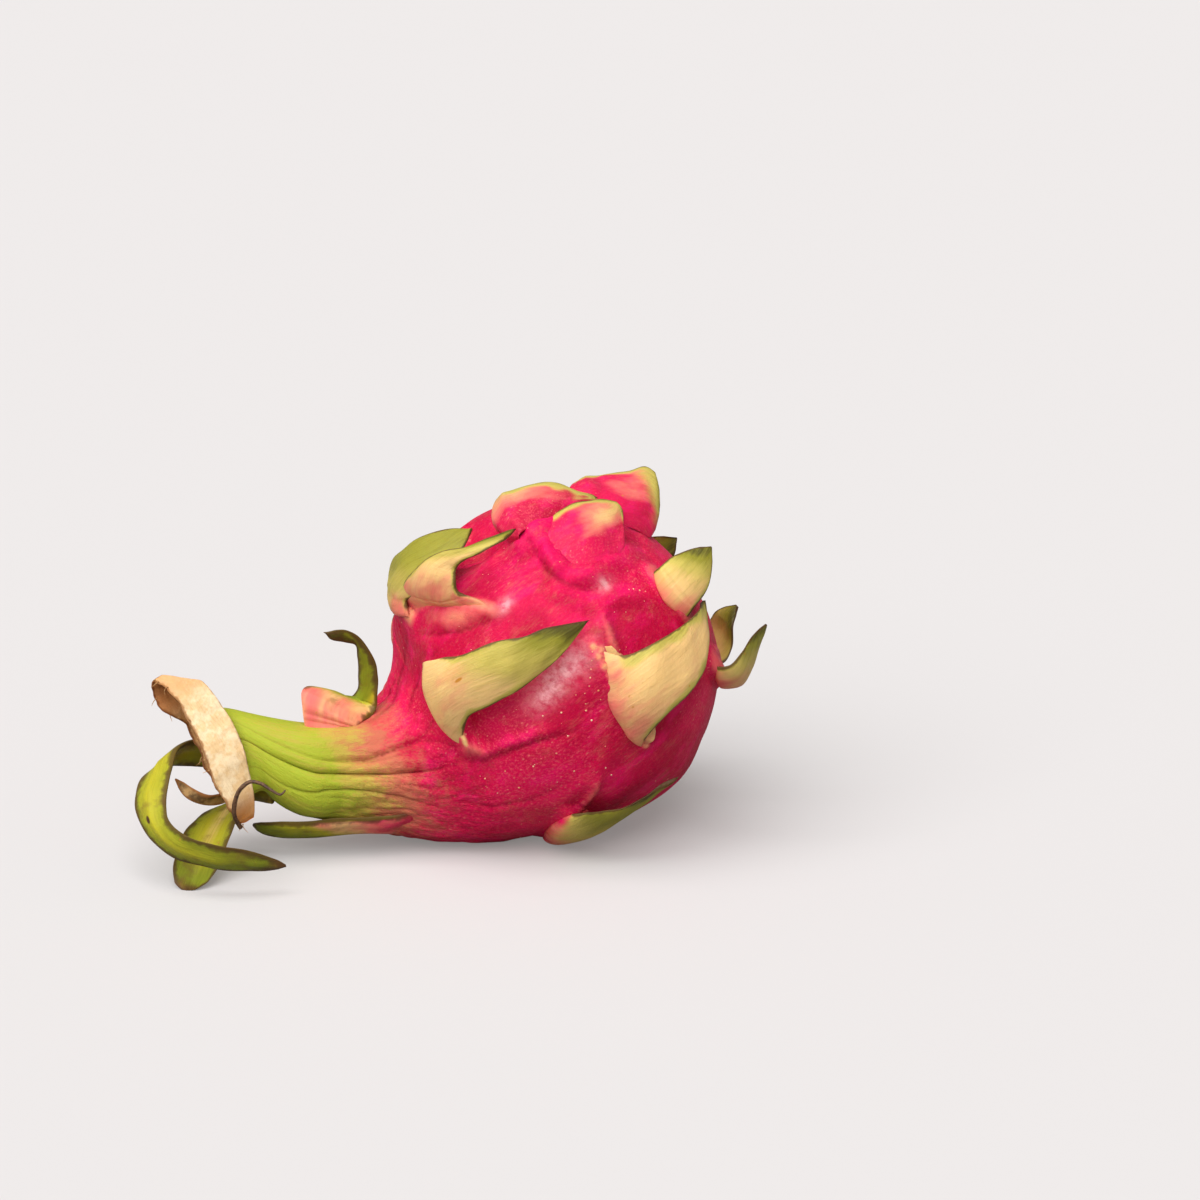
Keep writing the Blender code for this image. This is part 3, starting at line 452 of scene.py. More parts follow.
def body_scales():
    """Every scale that folds back on the body: its name and its rows."""
    named = [(name, rows) for name, rows in SCALES.items() if name not in NECK_LEAVES]
    return named + [("hidden_%d" % k, rows) for k, rows in enumerate(spiral_scales())]


def flesh_of(name, rows):
    """Places (s, phi, height, reach) of the round flesh that carries a scale, those of its fold first."""
    data = np.array(rows[1:] if name in ROOTED else rows, float)
    share = np.linspace(0, 1, FLESH_COUNT)[:, None]
    end = 1 - 0.35 * np.abs(2 * share[:, 0] - 1) ** 3
    places = []
    for ahead, lift, reach, slope in FLESH:
        row = data[0] + (data[1] - data[0]) * ahead
        line = row[:3] + (row[3:] - row[:3]) * share
        line[:, 2] = (line[:, 2] + lift) * end
        places.append(np.column_stack([line, reach + slope * line[:, 2]]))
    if not TINTS.get(name, TINT_HIDDEN)[5]:
        joined = data[:-1, 3:]
        steps = np.linspace(0, len(joined) - 1, 5 * len(joined))
        line = np.column_stack([np.interp(steps, np.arange(len(joined)), joined[:, k]) for k in range(3)])
        line[:, 2] += JOINED_LIFT
        places.append(np.column_stack([line, 3 + 0.9 * line[:, 2]]))
    places = np.concatenate(places)
    places[:, 3] = np.minimum(places[:, 3], STEM_REACH if data[0, 0] < -30 and name != "top_cup" else FLESH_REACH)
    return places


def fold_relief(s, phi):
    """Height of the flesh that carries the scales, how peach it is, and how near its foot is."""
    place = on_skin(s, phi, np.zeros_like(s))
    height, peach, foot = np.zeros_like(s), np.zeros_like(s), np.zeros_like(s)
    for name, rows in body_scales():
        flesh = flesh_of(name, rows)
        at = on_skin(flesh[:, 0], flesh[:, 1], np.zeros(len(flesh)))
        near = np.all((place > at.min(0) - 10) & (place < at.max(0) + 10), -1)
        gap = np.linalg.norm(place[near][:, None] - at[None], axis=-1)
        rise = flesh[:, 2] * (1 - smooth(gap / flesh[:, 3], 0, 1))
        height[near] = np.maximum(height[near], rise.max(1))
        first, last = PEACH_REACH.get(name, (1.2, 4.2))
        from_fold = gap[:, :len(FLESH) * FLESH_COUNT].min(1)
        tint = TINTS.get(name, TINT_HIDDEN)
        fleshy = (1 - 0.85 * min(1.0, tint[3])) * tint[5]
        peach[near] = np.maximum(peach[near], fleshy * (1 - smooth(from_fold, first, last)))
        outside = (gap - flesh[:, 3]).min(1)
        # The foot is sunk a little and gets painted shade in the skin's colour
        foot[near] = np.maximum(foot[near], 0.35 * np.exp(-(outside / 0.6) ** 2))
    return height, peach, foot


def waves(s, phi):
    angle = np.radians(phi)
    wave = np.sin(3 * angle + 0.09 * s) + 0.6 * np.sin(5 * angle - 0.13 * s + 1.1)
    return WAVE_HEIGHT * wave * smooth(s, STEM_END, STEM_END + 12)


def ring_lens(angle, length, depth):
    """A flattened ring's outline with drawn out ends: along its length and its depth."""
    across = np.sin(angle)
    return length / 2 * np.cos(angle), depth / 2 * across * np.abs(across) ** 0.3


def collar_axes():
    down = unit(np.array(COLLAR_DOWN))
    out = np.array(COLLAR_OUT)
    out = unit(out - down * (out @ down))
    return down, out, np.cross(down, out)


def spline(points, count):
    """Points of a smooth line through the given rows, closer together where it turns."""
    points = np.asarray(points, float)
    gap = np.linalg.norm(np.diff(points[:, :3], axis=0), axis=1)
    knots = np.concatenate([[0], np.cumsum(gap)])
    slope = np.gradient(points, knots, axis=0)
    t = np.linspace(0, knots[-1], 30 * len(points))
    i = np.clip(np.searchsorted(knots, t, side="right") - 1, 0, len(gap) - 1)
    step = gap[i]
    u = ((t - knots[i]) / step)[:, None]
    step = step[:, None]
    dense = (points[i] * (1 + 2 * u) * (1 - u) ** 2 + step * slope[i] * u * (1 - u) ** 2
             + points[i + 1] * u * u * (3 - 2 * u) + step * slope[i + 1] * u * u * (u - 1))
    run = np.diff(dense[:, :3], axis=0)
    length = np.linalg.norm(run, axis=1)
    heading = unit(run)
    turn = np.arccos(np.clip(np.sum(heading[1:] * heading[:-1], 1), -1, 1))
    weight = length + TURN_WEIGHT * np.concatenate([[0], turn])
    total = np.concatenate([[0], np.cumsum(weight)])
    at = np.linspace(0, total[-1], count)
    return np.stack([np.interp(at, total, dense[:, k]) for k in range(points.shape[1])], 1)


def bend_radius(line):
    """How tightly a line of points turns, as a radius at each point."""
    heading = np.gradient(line, axis=0)
    step = np.linalg.norm(heading, axis=1)
    turn = np.linalg.norm(np.gradient(unit(heading), axis=0), axis=1)
    return step / np.maximum(turn, 1e-6)


def scale_margins(rows, rooted=False):
    """World rows of a scale's two margins, with the sunk rows that root it in the skin."""
    data = np.array(rows, float)
    if not rooted:
        first = data[0]
        centre = (first[1] + first[4]) / 2
        half = (first[4] - first[1]) / 2
        room = np.clip((first[0] - STEM_END - 4) / 17, 0.15, 1)
        roots = []
        for length, h, share in ROOT_ROWS:
            ds = length * room
            roots.append((first[0] + ds, centre - half * share, h, first[3] + ds, centre + half * share, h))
        data = np.vstack([roots, data])
    far = on_skin(data[:, 0], data[:, 1], data[:, 2])
    near = on_skin(data[:, 3], data[:, 4], data[:, 5])
    return np.hstack([far, near])


def leaf_margins(rows, sides):
    """World rows of a leaf's two margins, from its middle line and the way its width lies."""
    data = np.array(rows, float)
    half = unit(np.array(sides, float)) * data[:, 3:]
    return np.hstack([data[:, :3] - half, data[:, :3] + half])


def spiral_scales():
    """The scales of the hidden sides, each a little different from the next."""
    draw = random.Random(SPIRAL_SEED)
    taken = []
    for rows in SCALES.values():
        far_s, far_phi, _, near_s, near_phi, _ = rows[0]
        taken.append(((far_s + near_s) / 2, (far_phi + near_phi) / 2))
    placed = []
    for k in range(SPIRAL_COUNT):
        s = SPIRAL_START - SPIRAL_STEP * k
        phi = (SPIRAL_PHI + SPIRAL_TURN * k) % 360
        size = draw.uniform(0.9, 1.1)
        lift = draw.uniform(0.8, 1.2) * (1 - 0.5 * float(smooth(phi, 280, 311)))
        turn = draw.uniform(-4, 4)
        if not HIDDEN_FROM < phi < HIDDEN_TO:
            continue
        reach = float(radius(np.array(s)))
        size *= 0.62 + 0.38 * float(smooth(reach, 14, 36))
        clear = True
        for other_s, other_phi in taken:
            around = math.radians(abs((phi - other_phi + 180) % 360 - 180)) * reach
            clear = clear and math.hypot(s - other_s, around) > NEIGHBOUR_GAP * size
        if not clear:
            continue
        taken.append((s, phi))
        rows = []
        for i, (ds, h, half) in enumerate(SPIRAL_SCALE):
            here = s + ds * size
            raised = h * lift * size
            half_turn = math.degrees(half * size / (float(radius(np.array(here))) + raised))
            middle = phi + turn * i / 3
            rows.append((here, middle - half_turn, raised, here, middle + half_turn, raised))
        placed.append(rows)
    return placed


def closed_grid(grid, start, end):
    """A closed skin from rings of points (rows x columns), capped at two poles."""
    rows, columns = grid.shape[:2]
    points = np.concatenate([grid.reshape(-1, 3), [start], [end]])
    i, j = np.meshgrid(np.arange(rows - 1), np.arange(columns), indexing="ij")
    k = (j + 1) % columns
    quads = np.stack([i * columns + j, i * columns + k, (i + 1) * columns + k, (i + 1) * columns + j], -1)
    first, last = rows * columns, rows * columns + 1
    faces = quads.reshape(-1, 4).tolist()
    for j in range(columns):
        k = (j + 1) % columns
        faces.append((first, k, j))
        faces.append((last, (rows - 1) * columns + j, (rows - 1) * columns + k))
    return points, faces


def outward(points, faces):
    """The faces, turned round if they enclose their solid from the wrong side."""
    volume = 0.0
    for face in faces:
        a = points[face[0]]
        for m in range(1, len(face) - 1):
            b, c = points[face[m]], points[face[m + 1]]
            volume += (a[0] * (b[1] * c[2] - b[2] * c[1]) + a[1] * (b[2] * c[0] - b[0] * c[2])
                       + a[2] * (b[0] * c[1] - b[1] * c[0]))
    return faces if volume > 0 else [list(face)[::-1] for face in faces]


class Mesh:
    """Points in the fruit's millimetres, faces, and values for the materials, gathered piece by piece."""

    def __init__(self):
        self.points, self.faces, self.values, self.count = [], [], {}, 0

    def add(self, points, faces, **values):
        points = np.asarray(points, float)
        turned = outward(points.tolist(), faces)
        self.faces += [[v + self.count for v in face] for face in turned]
        self.points.append(points)
        for name, value in values.items():
            self.values.setdefault(name, []).append(np.asarray(value, np.float32))
        self.count += len(points)

    def build(self, name, surface, above_ground=True):
        placed = np.concatenate(self.points) - np.array(ORIGIN)
        if above_ground:
            placed[:, 2] = np.maximum(placed[:, 2], 0)
        mesh = bpy.data.meshes.new(name)
        mesh.from_pydata((placed * MM).tolist(), [], self.faces)
        for key, parts in self.values.items():
            data = np.concatenate(parts)
            kind = "FLOAT" if data.ndim == 1 else "FLOAT_VECTOR"
            layer = mesh.attributes.new(key, kind, "POINT")
            layer.data.foreach_set("value" if data.ndim == 1 else "vector", data.ravel())
        mesh.shade_smooth()
        mesh.materials.append(surface)
        mesh.update()
        item = bpy.data.objects.new(name, mesh)
        bpy.context.scene.collection.objects.link(item)
        return item


def carry(item, slot, *nodes):
    """The piece rides on the fruit and stands for the named solids."""
    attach(item, "root")
    if nodes:
        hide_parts(*nodes)


def body_points(s, phi, size):
    """Points of the body's and the neck's skin, with the values that colour them."""
    folds, peach, foot = fold_relief(s, phi)
    on_body = 1 - smooth(s, 40, 56)
    lobe, crease = lobes(s, phi)
    line, groove, line_peach = fold_lines(s, phi)
    angle = np.radians(phi)
    reach = radius(s)
    round_skin = np.stack([reach * np.cos(angle), reach * np.sin(angle), s], -1)
    wide = np.stack([np.cos(angle) * 20, np.sin(angle) * 20, s * 0.16], -1)
    lower = smooth(np.cos(np.radians(phi - 118)), 0.1, 0.85)
    wrinkled = smooth(s, 26, 42) * (1 - 0.75 * smooth(s, 60, 74)) * (0.25 + 0.75 * lower)
    bent = round_skin + 0.8 * noise(round_skin * (1, 1, 0.35), 4, 26)[..., None] * (1, 1, 0)
    crinkle = noise(bent * (1, 1, 0.09), 1.6, 6) + 0.2 * noise(round_skin, 2.6, 10)
    kink = np.exp(-((s - 67) / 5) ** 2 - (((phi - 122 + 180) % 360 - 180) / 24) ** 2)
    wrinkle = (noise(wide, 3.2, 5) * 0.13 + (np.abs(crinkle) * 0.55 - 0.14) * wrinkled
               + 0.25 * noise(bent * (1, 1, 0.1), 3.0, 9) * wrinkled + 1.1 * kink * noise(round_skin * (1, 1, 0.7), 3.0, 27))
    dimple = noise(round_skin, 9, 7) * 0.4 + noise(round_skin, 3.4, 8) * 0.1
    height = (folds * on_body + line + waves(s, phi) + reach * lobe - 0.9 * crease - 0.2 * foot * on_body
              + size.wrinkle * wrinkle + size.dimple * dimple * (1 - smooth(s, 30, 58)))
    points = on_skin(s, phi, height)
    down, out, back = collar_axes()
    length, across = ring_lens(angle, PLUG_LENGTH, PLUG_DEPTH)
    inset = PLUG_START + (PLUG_END - PLUG_START) * smooth(s, 82, NECK_END)
    plug = (np.array(COLLAR_CENTRE) + down * PLUG_SHIFT + out * inset[..., None]
            - down * length[..., None] - back * across[..., None])
    share = smooth(s, 74, 88)[..., None]
    values = {
        "peach": np.maximum(peach * on_body, line_peach),
        # raised flesh: brighter vivid pink in the material, partly its own colour and partly painted highlight
        "flesh": np.clip((folds + np.maximum(line, 0)) / 6, 0, 1) * on_body,
        "green": neck_green(s, phi),
        # where painted shade darkens the skin: the neck's creases, the wrinkle valleys, the foot of the flesh and the
        # narrow grooves
        "crease": np.maximum(np.maximum(crease, 0.4 * wrinkled * np.exp(-(crinkle / 0.07) ** 2)),
                             np.maximum(0.5 * foot * on_body, groove)),
        "wrinkled": wrinkled,
        "grain": round_skin,
        "pale": pale_patches(s, phi),
    }
    return points * (1 - share) + plug * share, values


def neck_green(s, phi):
    """How green the neck is: all of it near the collar, and further along its lower front."""
    around = (phi - 115 + 180) % 360 - 180
    return smooth(s + 9 * np.exp(-(around / 45) ** 2), 45, 84)


def pale_patches(s, phi):
    """How rubbed and pale the skin is."""
    spots = list(PALE_HIDDEN)
    for pixel, length, width in PALE_SEEN:
        (at_s,), (at_phi,) = PhotoView().seen_at([pixel])
        spots.append((at_s, at_phi, length, width))
    total = np.zeros_like(s)
    for at_s, at_phi, length, width in spots:
        around = np.radians((phi - at_phi + 180) % 360 - 180) * radius(s)
        total = np.maximum(total, np.exp(-((s - at_s) / length) ** 2 - (around / width) ** 2))
    return total


def blade(margins, rows, columns, tint, root=ROOT_THICKNESS, keel=0.0, mark=0.0, bow=0.0, dry=0.0,
          heart=0.0, underside_shade_share=1.0):
    """A closed leaf blade between its far and its near margin, with the values that colour it."""
    line = spline(margins, rows)
    far, near = line[:, :3], line[:, 3:]
    centre = (far + near) / 2
    run = np.concatenate([[0], np.cumsum(np.linalg.norm(np.diff(centre, axis=0), axis=1))])
    side = unit(near - far + 1e-3 * (near[0] - far[0]))
    half = np.linalg.norm(near - far, axis=1) / 2
    tip = np.sqrt(np.clip((run[-1] - run) / 2.2, 0, 1))
    half = np.maximum(half, TIP_HALF) * (0.25 + 0.75 * tip)
    along = unit(np.gradient(centre, axis=0))
    face = unit(np.cross(along, side))
    t = run / run[-1]
    thick = TIP_THICKNESS + (root - TIP_THICKNESS) * (1 - smooth(t, 0.0, 0.75))
    thick = np.minimum(thick, BEND_ROOM * np.min([bend_radius(edge) for edge in (far, centre, near)], 0))
    thick = np.maximum(thick, 0.6 * TIP_THICKNESS) * (0.35 + 0.65 * tip)
    across = -np.cos(np.linspace(0, math.pi, columns))
    bowed = bow * unit(centre[rows // 4] - centre[-1]) * (smooth(t, 0.02, 0.14) * (1 - smooth(t, 0.16, 0.55)))[:, None]
    upper, lower, width, depth = [], [], [], []
    for v in across:
        along_margin = np.stack([run, np.full_like(run, mark * 7.3 + np.sign(v) * 5), run * 0], 1)
        on_face = np.stack([half * v, run, np.full_like(run, mark * 7.3)], 1)
        margin = 1 + 0.03 * noise(along_margin, 4.5, 11) * abs(v) ** 3
        ripple = 0.55 * noise(along_margin, 6.0, 12) * abs(v) ** 4 * smooth(t, 0.12, 0.4)
        dent = (0.5 * noise(on_face, 5.5, 14) + 0.16 * noise(on_face * (1, 0.35, 1), 1.7, 15)) * (1 - v * v)
        cup = CUP * smooth(t, 0.05, 0.3) * (1 - 0.5 * smooth(t, 0.6, 1))
        lift = half * (-cup * (1 - v * v) + keel * (1 - abs(v))) + ripple + dent * smooth(t, 0.02, 0.2)
        middle = centre + side * (half * v * margin)[:, None] + face * lift[:, None] + bowed * (1 - v * v)
        reach = thick * 0.5 * (0.07 + 0.93 * math.sqrt(max(0.0, 1 - abs(v) ** 3)))
        upper.append(middle + face * reach[:, None])
        lower.append(middle - face * reach[:, None])
        width.append(v * half)
        depth.append(np.minimum(half * (1 - abs(v)), run[-1] - run))
    ring = np.stack(upper + lower[::-1], 1)
    width = np.stack(width + width[::-1], 1)
    depth = np.stack(depth + depth[::-1], 1)
    v = np.concatenate([across, across[::-1]])[None].repeat(rows, 0)
    inner = np.concatenate([np.ones(columns), np.zeros(columns)])[None].repeat(rows, 0)
    t = t[:, None].repeat(2 * columns, 1)
    grain = np.stack([width, t * run[-1], np.full_like(width, mark * 31.0)], -1)
    grow, full, margin_green, pink_fold, pink_tip, near_share, tip_dark = tint
    uneven = t - 0.17 * v * smooth(t, 0.1, 0.4) + 0.06 * noise(grain, 4, 13)
    greening = 0.76 * smooth(uneven, grow, full) + 0.24 * tip_dark * smooth(uneven, 0.76, 0.98)
    band = margin_green * (1 + 0.6 * noise(grain, 3, 16))
    shown = 1 - (1 - near_share) * smooth(v, 0.2, 0.5)
    greening = np.maximum(greening - heart * (1 - np.abs(v)) * smooth(t, 0.2, 0.4) * (1 - smooth(t, 0.7, 1)), 0.12 * heart)
    greening = np.maximum(greening, 0.55 * shown * (1 - smooth(depth / band, 0.2, 1.2)) * smooth(t, 0.15, 0.35))
    joined = 1 - near_share
    pink = pink_fold + (pink_tip - pink_fold) * smooth(t, 0.14 + 0.16 * joined, 0.55 + 0.2 * joined)
    values = {
        "green": greening,
        "pink": np.maximum(np.maximum(pink, 1 - smooth(t, 0.0, 0.09)), 1.2 * joined * smooth(v, -0.5, 0.45)),
        "edge": depth + 3 * (1 - smooth(t, 0.08, 0.26)) + 2 * (1 - shown),
        # how much painted shade darkens the inner faces
        "inner": underside_shade_share * inner * smooth(t, 0.08, 0.2),
        "dry": dry * np.maximum(0.75 * (1 - smooth(t, 0.12, 0.36)), smooth(t + 0.05 * noise(grain, 3, 17), 0.92, 1.0)),
        "grain": grain,
    }
    return ring, values


def spot_place(spot, grain):
    """A spot's place in a blade's grain, and its radii."""
    across, share, wide, long = spot
    return (across, share * float(grain[-1, 0, 1]), float(grain[0, 0, 2])), (wide, long)


def blade_faces(ring):
    """Quads of a blade's ring of points, with its two ends closed."""
    rows, count = ring.shape[:2]
    i, j = np.meshgrid(np.arange(rows - 1), np.arange(count), indexing="ij")
    k = (j + 1) % count
    quads = np.stack([i * count + j, i * count + k, (i + 1) * count + k, (i + 1) * count + j], -1)
    faces = quads.reshape(-1, 4).tolist()
    for row, flip in ((0, True), (rows - 1, False)):
        for j in range(count // 2 - 1):
            end = [row * count + j, row * count + j + 1, row * count + count - 2 - j, row * count + count - 1 - j]
            faces.append(end[::-1] if flip else end)
    return faces


class Nodes:
    """Adds nodes to one tree. A value is a number, a colour or another node's output."""

    def __init__(self, tree):
        self.tree = tree
        self.column = 0

    def add(self, kind, values=(), **settings):
        node = self.tree.nodes.new(kind)
        self.column += 1
        node.location = (self.column * 190, -(self.column % 5) * 170)
        for key, value in settings.items():
            setattr(node, key, value)
        for key, value in dict(values).items():
            self.put(node.inputs[key], value)
        return node

    def put(self, socket, value):
        if isinstance(value, bpy.types.NodeSocket):
            self.tree.links.new(value, socket)
        elif socket.type == "RGBA":
            socket.default_value = (*tuple(value)[:3], 1)
        else:
            socket.default_value = value

    def math(self, operation, a, b=0.0, clamp=False):
        node = self.add("ShaderNodeMath", {0: a, 1: b}, operation=operation, use_clamp=clamp)
        return node.outputs[0]

    def ramp(self, value, low, high, start=0.0, end=1.0):
        node = self.add("ShaderNodeMapRange", {0: value, 1: low, 2: high, 3: start, 4: end},
                        interpolation_type="SMOOTHSTEP")
        return node.outputs[0]

    def mix(self, share, a, b, blend="MIX"):
        node = self.add("ShaderNodeMix", data_type="RGBA", blend_type=blend)
        sockets = {s.identifier: s for s in node.inputs}
        self.put(sockets["Factor_Float"], share)
        self.put(sockets["A_Color"], a)
        self.put(sockets["B_Color"], b)
        return next(s for s in node.outputs if s.identifier == "Result_Color")

    def value(self, name):
        return self.add("ShaderNodeAttribute", attribute_name=name).outputs["Fac"]

    def vector(self, name):
        return self.add("ShaderNodeAttribute", attribute_name=name).outputs["Vector"]

    def stretch(self, vector, by):
        return self.add("ShaderNodeVectorMath", {0: vector, 1: by}, operation="MULTIPLY").outputs[0]

    def noise(self, vector, scale, detail=2.0, rough=0.5):
        node = self.add("ShaderNodeTexNoise", {"Vector": vector, "Scale": scale, "Detail": detail, "Roughness": rough})
        return node.outputs["Fac"]

    def cells(self, vector, scale):
        node = self.add("ShaderNodeTexVoronoi", {"Vector": vector, "Scale": scale})
        return node.outputs["Distance"], node.outputs["Color"]


def node_group(name, inputs, outputs, fill):
    """A shader node group with named sockets; fill(nodes, inputs) returns its outputs."""
    if name in bpy.data.node_groups:
        return bpy.data.node_groups[name]
    tree = bpy.data.node_groups.new(name, "ShaderNodeTree")
    for label, kind, default in inputs:
        socket = tree.interface.new_socket(label, in_out="INPUT", socket_type="NodeSocket" + kind)
        if default is not None:
            socket.default_value = default
    for label, kind in outputs:
        tree.interface.new_socket(label, in_out="OUTPUT", socket_type="NodeSocket" + kind)
    nodes = Nodes(tree)
    start = tree.nodes.new("NodeGroupInput")
    end = tree.nodes.new("NodeGroupOutput")
    results = fill(nodes, start.outputs)
    for label, result in results.items():
        tree.links.new(result, end.inputs[label])
    end.location = (nodes.column * 190 + 300, 0)
    return tree


def speckle_group():
    """The waxy skin's fine pale mottling, its small dots, and its pores as a height."""
    def fill(nodes, given):
        dash = nodes.stretch(given["Vector"], (1.0, 1.0, 0.45))
        fine = nodes.ramp(nodes.noise(dash, 2.0, 4.0, 0.66), 0.46, 0.70)
        near, tone = nodes.cells(dash, 0.85)
        spot = nodes.ramp(near, 0.10, 0.24, 1, 0)
        chosen = nodes.ramp(nodes.add("ShaderNodeSeparateColor", {0: tone}).outputs[0], 0.5, 0.7)
        pores, _ = nodes.cells(given["Vector"], 1.7)
        return {"Mottling": fine, "Dots": nodes.math("MULTIPLY", spot, chosen), "Height": nodes.ramp(pores, 0.0, 0.5)}
    return node_group("Pitaya speckle", [("Vector", "Vector", None)],
                      [("Mottling", "Float"), ("Dots", "Float"), ("Height", "Float")], fill)


def fibre_group():
    """Fine lines that run along a leaf or the neck, as a value from 0 to 1."""
    def fill(nodes, given):
        wide = nodes.noise(nodes.stretch(given["Vector"], (1.0, 0.10, 1.0)), 1.1, 4.0, 0.65)
        thin = nodes.noise(nodes.stretch(given["Vector"], (1.0, 0.05, 1.0)), 3.4, 2.0, 0.6)
        return {"Lines": nodes.math("ADD", nodes.math("MULTIPLY", wide, 0.6), nodes.math("MULTIPLY", thin, 0.4))}
    return node_group("Leaf fibres", [("Vector", "Vector", None)], [("Lines", "Float")], fill)


def greening_group():
    """The colour of a scale from its base over yellow green to its dark green tip."""
    def fill(nodes, given):
        value = given["Green"]
        colour = nodes.mix(nodes.ramp(value, 0.03, 0.42), given["Base"], given["Yellow green"])
        colour = nodes.mix(nodes.ramp(value, 0.35, 0.78), colour, given["Mid green"])
        return {"Colour": nodes.mix(nodes.ramp(value, 0.76, 1.0), colour, given["Dark green"])}
    tones = [(name, "Color", None) for name in ("Base", "Yellow green", "Mid green", "Dark green")]
    return node_group("Scale greening", [("Green", "Float", 0.0)] + tones, [("Colour", "Color")], fill)


def browning_group():
    """Dry brown along a margin, wider in some places than in others, as a mask."""
    def fill(nodes, given):
        rough = nodes.noise(given["Vector"], given["Grain"], 3.0)
        reach = nodes.math("MULTIPLY", given["Width"], nodes.ramp(rough, 0.3, 0.7, 0.55, 1.6))
        inside = nodes.math("DIVIDE", given["Edge"], reach)
        return {"Mask": nodes.ramp(inside, 0.3, 1.3, 1, 0)}
    return node_group("Margin browning", [
        ("Vector", "Vector", None), ("Edge", "Float", 9.0), ("Width", "Float", 0.4), ("Grain", "Float", 0.35)],
        [("Mask", "Float")], fill)


def use(nodes, group, values, output):
    node = nodes.add("ShaderNodeGroup", node_tree=group)
    for key, value in values.items():
        nodes.put(node.inputs[key], value)
    return node.outputs[output]


def new_material(name):
    made = bpy.data.materials.new(name)
    made.use_nodes = True
    nodes = Nodes(made.node_tree)
    return made, nodes, made.node_tree.nodes["Principled BSDF"]


def add_bump(nodes, shader, height, strength, distance):
    bump = nodes.add("ShaderNodeBump", {"Height": height, "Strength": strength, "Distance": distance})
    nodes.tree.links.new(bump.outputs["Normal"], shader.inputs["Normal"])


def magenta_skin(nodes, tones, grain):
    """Colour of the waxy skin: clouds and streaks of magenta under fine pale mottling."""
    clouds = nodes.noise(grain, 0.05, 3.0, 0.55)
    colour = nodes.mix(nodes.ramp(clouds, 0.38, 0.62), tones.deep, tones.skin)
    streak = nodes.noise(nodes.stretch(grain, (1.0, 1.0, 0.25)), 0.22, 4.0)
    colour = nodes.mix(nodes.ramp(streak, 0.5, 0.72, 0, 0.7), colour, tones.vivid)
    given = {"Vector": grain}
    strength = nodes.ramp(nodes.noise(grain, 0.045, 2.0), 0.36, 0.62, 0.12, 0.52)
    colour = nodes.mix(nodes.math("MULTIPLY", use(nodes, speckle_group(), given, "Mottling"), strength), colour,
                       tones.mottling)
    return nodes.mix(nodes.math("MULTIPLY", use(nodes, speckle_group(), given, "Dots"), nodes.math("MULTIPLY", strength, 0.8)), colour, tones.speckle)


